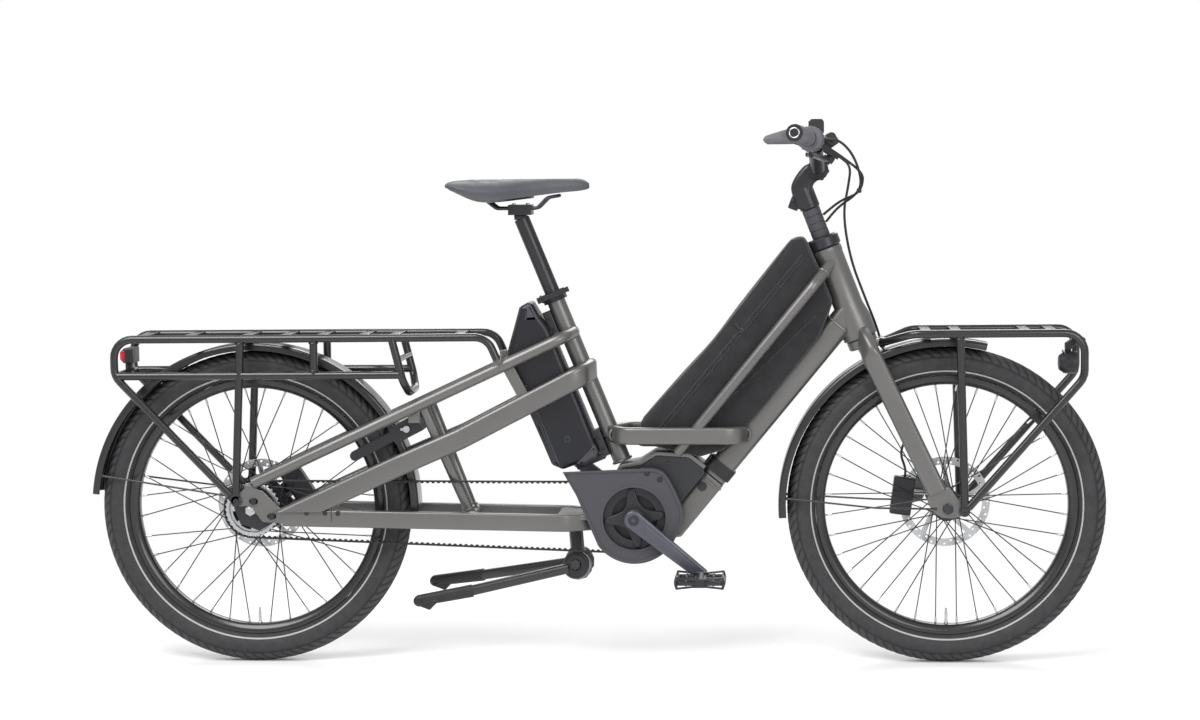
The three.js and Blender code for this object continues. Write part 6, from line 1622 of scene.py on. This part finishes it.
class BIKE_OT_lamps(bpy.types.Operator):
    """Head and tail lamps, ring lock"""

    bl_idname = "bike.lamps"
    bl_label = "Lamps and lock"

    def execute(self, context):
        outline = [(-259.5, 634.8), (-241, 634.8), (-241, 604.9), (-259.5, 604.9), (-267, 612.4), (-267, 627.4)]
        box = painted(plate(outline, 58, 0, edge=3, rounding=3), "casing")
        lens = plate([(-267, 613), (-267, 627), (-257, 632), (-257, 608)], 60, 0, edge=2, rounding=2)
        painted(lens, "red")
        done([box, lens], "tail_lamp", "frame", "tail_light")

        face, ahead = P(1597, 0, 594), (1, 0, 0)
        back = [(0, 0), (11, 0.4), (14.8, 1.6), (21.4, 11.5), (22, 14), (22, 36.4), (21, 38), (19.6, 38)]
        back += [(19.2, 35), (0, 35)]
        shell = painted(spun(back, face, ahead, 56), "casing")
        glass = spun([(0, 36.6), (10, 36.4), (19.2, 35.4), (19.2, 34.6), (0, 34.6)], face, ahead, 48)
        ring = painted(spun([(8, 36.6), (8.6, 37.3), (9.2, 36.6)], face, ahead, 40), "steel")
        ear = painted(block(P(1616, 0, 622), (12, 6, 20), 0, 1.5), "casing")
        fins = [painted(block(P(1606 + 5 * i, 0, 616), (1.6, 18, 5), 0, 0.3), "casing") for i in range(4)]
        pieces = [shell, painted(glass, "clear"), ring, ear, *fins]
        done(pieces, "head_lamp", "headlamp", "headlight")
        dressed("ring_lock", "casing", 3)
        dressed("lock_barrel", "steel", 0.6)
        return {"FINISHED"}


class BIKE_OT_stand(bpy.types.Operator):
    """Two-leg stand"""

    bl_idname = "bike.stand"
    bl_label = "Stand"

    def execute(self, context):
        dressed("kickstand_bracket", "casing", 2)
        for side, name in SIDES:
            hub_spot = P(648, side * 34, 197)
            axis = P(-0.234, side * 1, 0.239).normalized()
            rest = P(-285, side * 86, -74)
            toward = (rest - axis * rest.dot(axis)).normalized()
            start = hub_spot + axis * 9.8 + toward * 19
            knee = P(437, side * 98, 156)
            tip = P(340, side * 121, 141)
            disc = rod(hub_spot, hub_spot + axis * 12, 28, 2, 48, 11.6)
            cap = rod(hub_spot + axis * 11, hub_spot + axis * 13, 22, 1.2, 40, 11.6)
            leg = bar([start, knee, tip], 17, 20, 5, 60)
            sleeve = bar([knee + P(8, 0, 1.2), tip], 22, 24.5, 8, 20, narrow=0.9)
            end = rod(at_side(tip + P(2, 0, 0), side, 110.5), at_side(tip + P(2, 0, 0), side, 131), 11, 5, 32)
            nub = [(388, 147), (330, 135), (348, 128), (363, 122.5), (371, 131)]
            nub = plate(round_corners(nub, 4), 17, side * 117, edge=3, rounding=2)
            painted([disc, cap, leg], "powder")
            painted([sleeve, end, nub], "rubber")
            made = joined([disc, cap, leg, sleeve, end, nub])
            done(made, f"stand_leg_{name}", f"stand_{name[0]}", f"kickstand_leg_{name}")
        return {"FINISHED"}


# Steering


class BIKE_OT_fork(bpy.types.Operator):
    """Fork with its dropouts and crown"""

    bl_idname = "bike.fork"
    bl_label = "Fork"

    def execute(self, context):
        crown = head_point(628)
        drops = (
            (-0.9, 0.56), (0.06, 0.94), (0.42, 0.42), (0.84, 0.12), (0.9, -0.24), (0.46, -0.36), (0.14, -0.42),
            (-0.26, -0.38), (-0.56, -0.2), (-0.82, 0.16),
        )
        mount = ((-0.9, 1.2), (-1.94, 1.1), (-2.2, 0.2), (-1.7, -0.25), (-0.86, 0.1))
        pieces = [
            rod(crown, head_point(646) - HEAD_UP * 0.3, 30, 2, 56),
            rod(crown, head_point(940), 14.3, 0.8, 40),
        ]
        foot_way = (FRONT - crown).normalized()
        pieces.append(rod(crown, FRONT - foot_way * 333, 14, 0.8, 32))
        pieces.append(block(P(1240, 0, 637), (15.4, 47, 15), 0, 2))
        for side in BOTH:
            arms = [P(1215, side * 14, 652), P(1219, side * 40, 640), P(1230, side * 60, 614), P(1357, side * 62, 346)]
            leg = bar(arms, 24, 46, 10, 34, narrow=0.84)
            outline = round_corners(shares(drops, FRONT, 46), 9)
            pieces += [leg, plate(outline, 11, side * 62, [circle(FRONT, 7.9)], edge=1.6, rounding=2)]
        pieces.append(plate(round_corners(shares(mount, FRONT, 46), 10), 5.5, 60.75, edge=1))
        done(pieces, "fork_blades", "steering", "fork", "paint")
        return {"FINISHED"}


def bar_middle(y):
    """A place on the bar's clamped run."""
    return P(1128, y, 977)


def bar_at(side, offset):
    """The place on the bar's outer run at a distance from the middle."""
    share = (offset - 118) / (330 - 118)
    return between(P(1122, side * 118, 1033), P(1081, side * 330, 1047), share)


def lever_pin(side):
    """The place of a brake lever's pin."""
    return bar_at(side, 136) + P(38, 0, -26)


STEM = (
    (1100, 896), (1084, 902), (1083, 917), (1077, 929), (1075, 946), (1086, 967), (1101, 985), (1111, 990),
    (1140, 984), (1148, 974), (1142, 960), (1127, 956), (1118, 946), (1117, 930), (1121, 911), (1121, 898), (1100, 896),
)


class BIKE_OT_column(bpy.types.Operator):
    """Spacers, stem and display"""

    bl_idname = "bike.column"
    bl_label = "Stem and display"

    def execute(self, context):
        top = head_point(822) + HEAD_UP * 24.6
        far = (head_point(900) - top).length
        gap = 0.2
        rings = [
            rod(top + HEAD_UP * (far * i / 4 + gap), top + HEAD_UP * (far * (i + 1) / 4 - gap), 18, 0.8, 40, 14.8)
            for i in range(4)
        ]
        done(rings, "spacer_rings", "steering", "steerer_spacers", "guard")

        foot, head = head_point(900) + HEAD_UP * 0.3, head_point(940)
        middle = between(foot, head, 0.5)
        pieces = [
            rod(foot, head + HEAD_UP * 2, 20, 1.8, 48),
            plate([(p.x, p.z) for p in eased([Vector((x, 0, z)) for x, z in STEM], 2)], 37, 0, edge=9, rounding=4),
            block(middle - HEAD_FRONT * 25, (20, 24, 26), -21, 2.5),
            rod(bar_middle(-23), bar_middle(23), 21, 2.4, 48, 14.4),
        ]
        painted(pieces, "alloy")
        bolts = []
        for rise in (-7, 7):
            spot = middle - HEAD_FRONT * 25 + HEAD_UP * rise
            bolts.append(bolt(at_side(spot, -1, 12), (0, -1, 0), 3.6, 2.6))
        ahead = P(0.8, 0, -0.6).normalized()
        for y in (-15, 15):
            for turn in (-28, 28):
                away = Matrix.Rotation(math.radians(turn), 3, "Y") @ ahead
                bolts.append(bolt(bar_middle(y) + away * 20.4, away, 3.2, 2.4))
        bolts.append(bolt(head + HEAD_UP * 4, HEAD_UP, 12, 3))
        pieces += painted(bolts, "dark_steel")
        done(pieces, "stem_body", "steering", "stem")

        pieces = [bar([P(1126, -32, 1060), P(1126, 32, 1060)], 29, 31, 7)]
        pieces += [bar([P(1127, side * 27, 992), P(1126, side * 27, 1050)], 13, 9, 3) for side in BOTH]
        pieces += [rod(bar_middle(side * 27 - 6), bar_middle(side * 27 + 6), 17.5, 1.5, 36, 14.4) for side in BOTH]
        done(pieces, "display_case", "steering", "display", "casing")
        glass = block(P(1111.3, 0, 1062), (1.6, 54, 21), 0, 0.5)
        lid = block(P(1126, 0, 1075.4), (22, 56, 1.4), 0, 0.5)
        done([glass, lid], "display_screen", "steering", shade="screen")
        return {"FINISHED"}


class BIKE_OT_bars(bpy.types.Operator):
    """Handlebar, grips, shifter, brake perches and levers"""

    bl_idname = "bike.bars"
    bl_label = "Handlebar"

    def execute(self, context):
        half = [P(1081, 329, 1047), P(1122, 118, 1033), bar_middle(52)]
        line = tube(flipped(half) + list(reversed(half)), 11.1, 26, 24)
        middle = rod(bar_middle(-52), bar_middle(52), 14, 1.5, 40)
        ramps = [rod(bar_middle(side * 50), P(1127, side * 64, 989), 13, 1.5, 32) for side in BOTH]
        ramps += [rod(P(1127, side * 62, 986), P(1123.5, side * 104, 1019.5), 13.4, 2, 32) for side in BOTH]
        done([line, middle, *ramps], "handlebar_tube", "steering", "handlebar", "alloy")
        wing = ((0.1, 0.5), (-0.4, 0.35), (-1, 0), (-1.12, -0.25), (-1.02, -0.5), (-0.3, -0.5), (0.1, -0.45))
        for side, name in SIDES:
            inner, end = bar_at(side, 202), bar_at(side, 330)
            out = (end - inner).normalized()
            body = rod(inner, end, 16.4, 2.5, 40, 11.6)
            rings = [bead(between(inner, end, 0.06 + 0.88 * i / 14), out, 16.3, 0.7) for i in range(15)]
            painted([body, *rings], "grip")
            spot = between(inner, end, 0.5)
            rest = plate(round_corners(shares(wing, spot, 58, 29), 6), 96, side * 266, edge=7, rounding=4)
            rest.data.transform(turn_about(spot, (0, 0, 1), side * 11))
            collars = [rod(inner - out * 7, inner, 17, 1, 36, 11.6), rod(end - out * 4, end + out * 1, 16, 1, 36, 0)]
            collars.append(bead(end + out * 1.2, out, 9, 1.3))
            painted(collars, "alloy")
            painted(collars[-1], "steel")
            made = joined([body, *rings, painted(rest, "grip"), *collars])
            done(made, f"grip_rubber_{name}", "steering", f"grip_{name}")
            dressed(f"brake_perch_{name}", "alloy", 1.5)
            tank = block(P(1150, side * 118, 1031), (32, 24, 24), 35, 5)
            cap = rod(P(1153, side * 104, 1040), P(1153, side * 132, 1040), 9, 1.5, 28)
            done([tank, cap], f"brake_tank_{name}", "steering", shade="casing")

            pin = lever_pin(side)
            reach = (pin - bar_at(side, 136)).normalized()
            up = P(-reach.z, 0, reach.x)
            root = pin - up * 13.5
            corners = [root - out * 6, root + out * 37 - P(9, 0, 0), root + out * 146 - P(9, 0, 0)]
            blade = bar(corners, 9, 12, 3.6, 24, narrow=0.85)
            boss = rod(root + up * 6, root - up * 6, 9, 1, 32, 5.4)
            knob = bead(between(corners[1], corners[2], 0.99), corners[2] - corners[1], 3.2, 2.6)
            pieces = [blade, boss, knob]
            done(pieces, f"lever_blade_{name}", f"lever_{name[0]}", f"brake_lever_{name}", "alloy")
        a, b = bar_at(-1, 145.2), bar_at(-1, 178)
        out = (b - a).normalized()
        sleeve = rod(a, b, 23.4, 2.5, 48, 11.6)
        ribs = []
        for i in range(20):
            turn = Matrix.Rotation(2 * math.pi * i / 20, 3, out)
            arm = turn @ (P(0, 0, 1) - out * out.z).normalized() * 23.2
            ribs.append(stretched(between(a, b, 0.1) + arm, between(a, b, 0.86) + arm, 1.7))
        pieces = [sleeve, copied(stick(), ribs)]
        done(pieces, "shifter_sleeve", "shifter", "shift_grip", "grip")
        return {"FINISHED"}


# Hoses and cables


def steer_point(level, front, left):
    """A place beside the head tube."""
    return head_point(level, left) + HEAD_FRONT * front


def perch_socket(side):
    """The place where a hose enters its brake perch."""
    pin = lever_pin(side)
    return P(pin.x + 38 / 3, side * 120, pin.z - 4)


def hose(name, corners, stands_for=(), others=()):
    """A free hose along its route; its ends lie straight in their sockets."""
    points = [metres(p) for p in eased(corners)]
    line = drawn(points)
    line.data.bevel_depth = sizes().hose
    line.data.bevel_resolution = 4
    line.data.use_fill_caps = True
    line.name = name
    line.data.name = name
    painted(line, "rubber")
    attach(line, "steering")
    if stands_for:
        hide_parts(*stands_for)


class BIKE_OT_hoses(bpy.types.Operator):
    """Brake hoses and shift cable"""

    bl_idname = "bike.hoses"
    bl_label = "Hoses"

    def execute(self, context):
        clip = block(P(1207, -70, 936), (9, 24, 9), 0, 2)
        done(clip, "hose_clip", "steering", shade="rubber")
        right = [perch_socket(-1), P(1214, -100, 971), P(1213, -80, 945), P(1202, -60, 928)]
        right += [steer_point(895, 60, -24), steer_point(882, 19.6, -5)]
        hose("brake_hose_right", right, ["control_cables"], [clip])
        shift = [P(1139.5, -165, 1036), P(1168, -158, 1034), P(1196, -124, 1004), P(1212, -92, 955), P(1204, -66, 930)]
        shift += [steer_point(885, 50, -20), steer_point(868, 19.6, -3)]
        hose("shift_cable_right", shift)
        spot = wheel_point(FRONT, 172, 84.75, 46)
        down = P(math.sin(math.radians(172)), 0, -math.cos(math.radians(172)))
        top = spot + down * 38
        left = [perch_socket(1), P(1196, 100, 985), P(1190, 60, 945), P(1178, 40, 890), P(1192, 30, 800)]
        left += [P(1222, 28, 720), P(1246, 44, 660), P(1262, 79, 600), P(1312, 79, 450), P(1290, 79, 410)]
        hose("brake_hose_front", [*left, top + down * 15.6, top + down * 0.3], ["front_brake_hose"])
        return {"FINISHED"}


# Studio


CAMERA_PLACE = (0.37445, -5.14, 1.0104)
# The camera's turn, tilt and roll, in degrees, each about the axis that it names
CAMERA_TURNS = ((4.003, "Z"), (-4.51, "X"), (0.65, "Y"))


class BIKE_OT_stage(bpy.types.Operator):
    """Camera, pale floor and soft light"""

    bl_idname = "bike.stage"
    bl_label = "Studio"

    def execute(self, context):
        scene = context.scene
        bpy.ops.object.select_all(action="DESELECT")
        bpy.ops.object.camera_add(location=CAMERA_PLACE)
        camera = context.object
        turn = Matrix.Identity(3)
        for degrees, axis in CAMERA_TURNS:
            turn = turn @ Matrix.Rotation(math.radians(degrees), 3, axis)
        right, ahead, up = turn.col
        camera.matrix_world = Matrix.Translation(CAMERA_PLACE) @ Matrix((right, up, -ahead)).transposed().to_4x4()
        camera.data.lens = 77.97
        camera.data.sensor_width = 36
        camera.data.sensor_fit = "HORIZONTAL"
        camera.data.clip_end = 200
        scene.camera = camera

        stage = scene.bike_stage
        bpy.ops.mesh.primitive_plane_add(size=stage.floor, location=(0, 0, 0))
        floor = context.object
        floor.name = "floor"
        painted(floor, "floor")

        scene.world = scene.world or bpy.data.worlds.new("Studio")
        scene.world.use_nodes = True
        tree = Nodes(scene.world.node_tree)
        tree.tree.nodes.clear()
        light = tree.node("ShaderNodeBackground", Color=(1, 1, 1, 1), Strength=stage.sky)
        white = tree.node("ShaderNodeBackground", Color=(1, 1, 1, 1), Strength=1)
        shown = tree.blend(tree.rays("Is Camera Ray", "Is Transmission Ray"), light.outputs[0], white.outputs[0])
        tree.link(shown, tree.node("ShaderNodeOutputWorld").inputs[0])
        for name, spot, size, power in (
            ("key", (-1.8, -2.6, 4.2), 3.0, stage.key),
            ("fill", (2.6, -4.2, 2.2), 2.6, stage.fill),
            ("back", (0.4, 3.6, 3.4), 3.0, stage.key * 0.6),
        ):
            bpy.ops.object.light_add(type="AREA", location=spot)
            lamp = context.object
            lamp.name = name
            lamp.data.size = size
            lamp.data.energy = power
            lamp.rotation_euler = (Vector((0, 0, 0.5)) - Vector(spot)).to_track_quat("-Z", "Y").to_euler()
        scene.view_settings.view_transform = "Standard"
        return {"FINISHED"}


class BIKE_PT_panel(bpy.types.Panel):
    """Buttons that build the bike piece by piece"""

    bl_idname = "BIKE_PT_panel"
    bl_label = "Longtail cargo bike"
    bl_space_type = "VIEW_3D"
    bl_region_type = "UI"
    bl_category = "Bike"

    def draw(self, context):
        column = self.layout.column(align=True)
        for piece in PIECES:
            column.operator(piece.bl_idname)


PIECES = (
    BIKE_OT_stage, BIKE_OT_hoses, BIKE_OT_wheels, BIKE_OT_belt, BIKE_OT_cranks, BIKE_OT_motor, BIKE_OT_frame,
    BIKE_OT_battery, BIKE_OT_bag, BIKE_OT_seat, BIKE_OT_racks, BIKE_OT_guards, BIKE_OT_lamps, BIKE_OT_stand,
    BIKE_OT_fork, BIKE_OT_column, BIKE_OT_bars,
)
GROUPS = (("bike_colours", BikeColours), ("bike_sizes", BikeSizes), ("bike_stage", BikeStage))


def register():
    for name, group in GROUPS:
        bpy.utils.register_class(group)
        setattr(bpy.types.Scene, name, bpy.props.PointerProperty(type=group))
    for made in (*PIECES, BIKE_PT_panel):
        bpy.utils.register_class(made)


def unregister():
    for made in reversed((*PIECES, BIKE_PT_panel)):
        bpy.utils.unregister_class(made)
    for name, group in GROUPS:
        delattr(bpy.types.Scene, name)
        bpy.utils.unregister_class(group)


def main():
    register()
    for piece in PIECES:
        group, name = piece.bl_idname.split(".")
        if getattr(getattr(bpy.ops, group), name)() != {"FINISHED"}:
            raise RuntimeError(piece.bl_label)


if __name__ == "__main__":
    main()
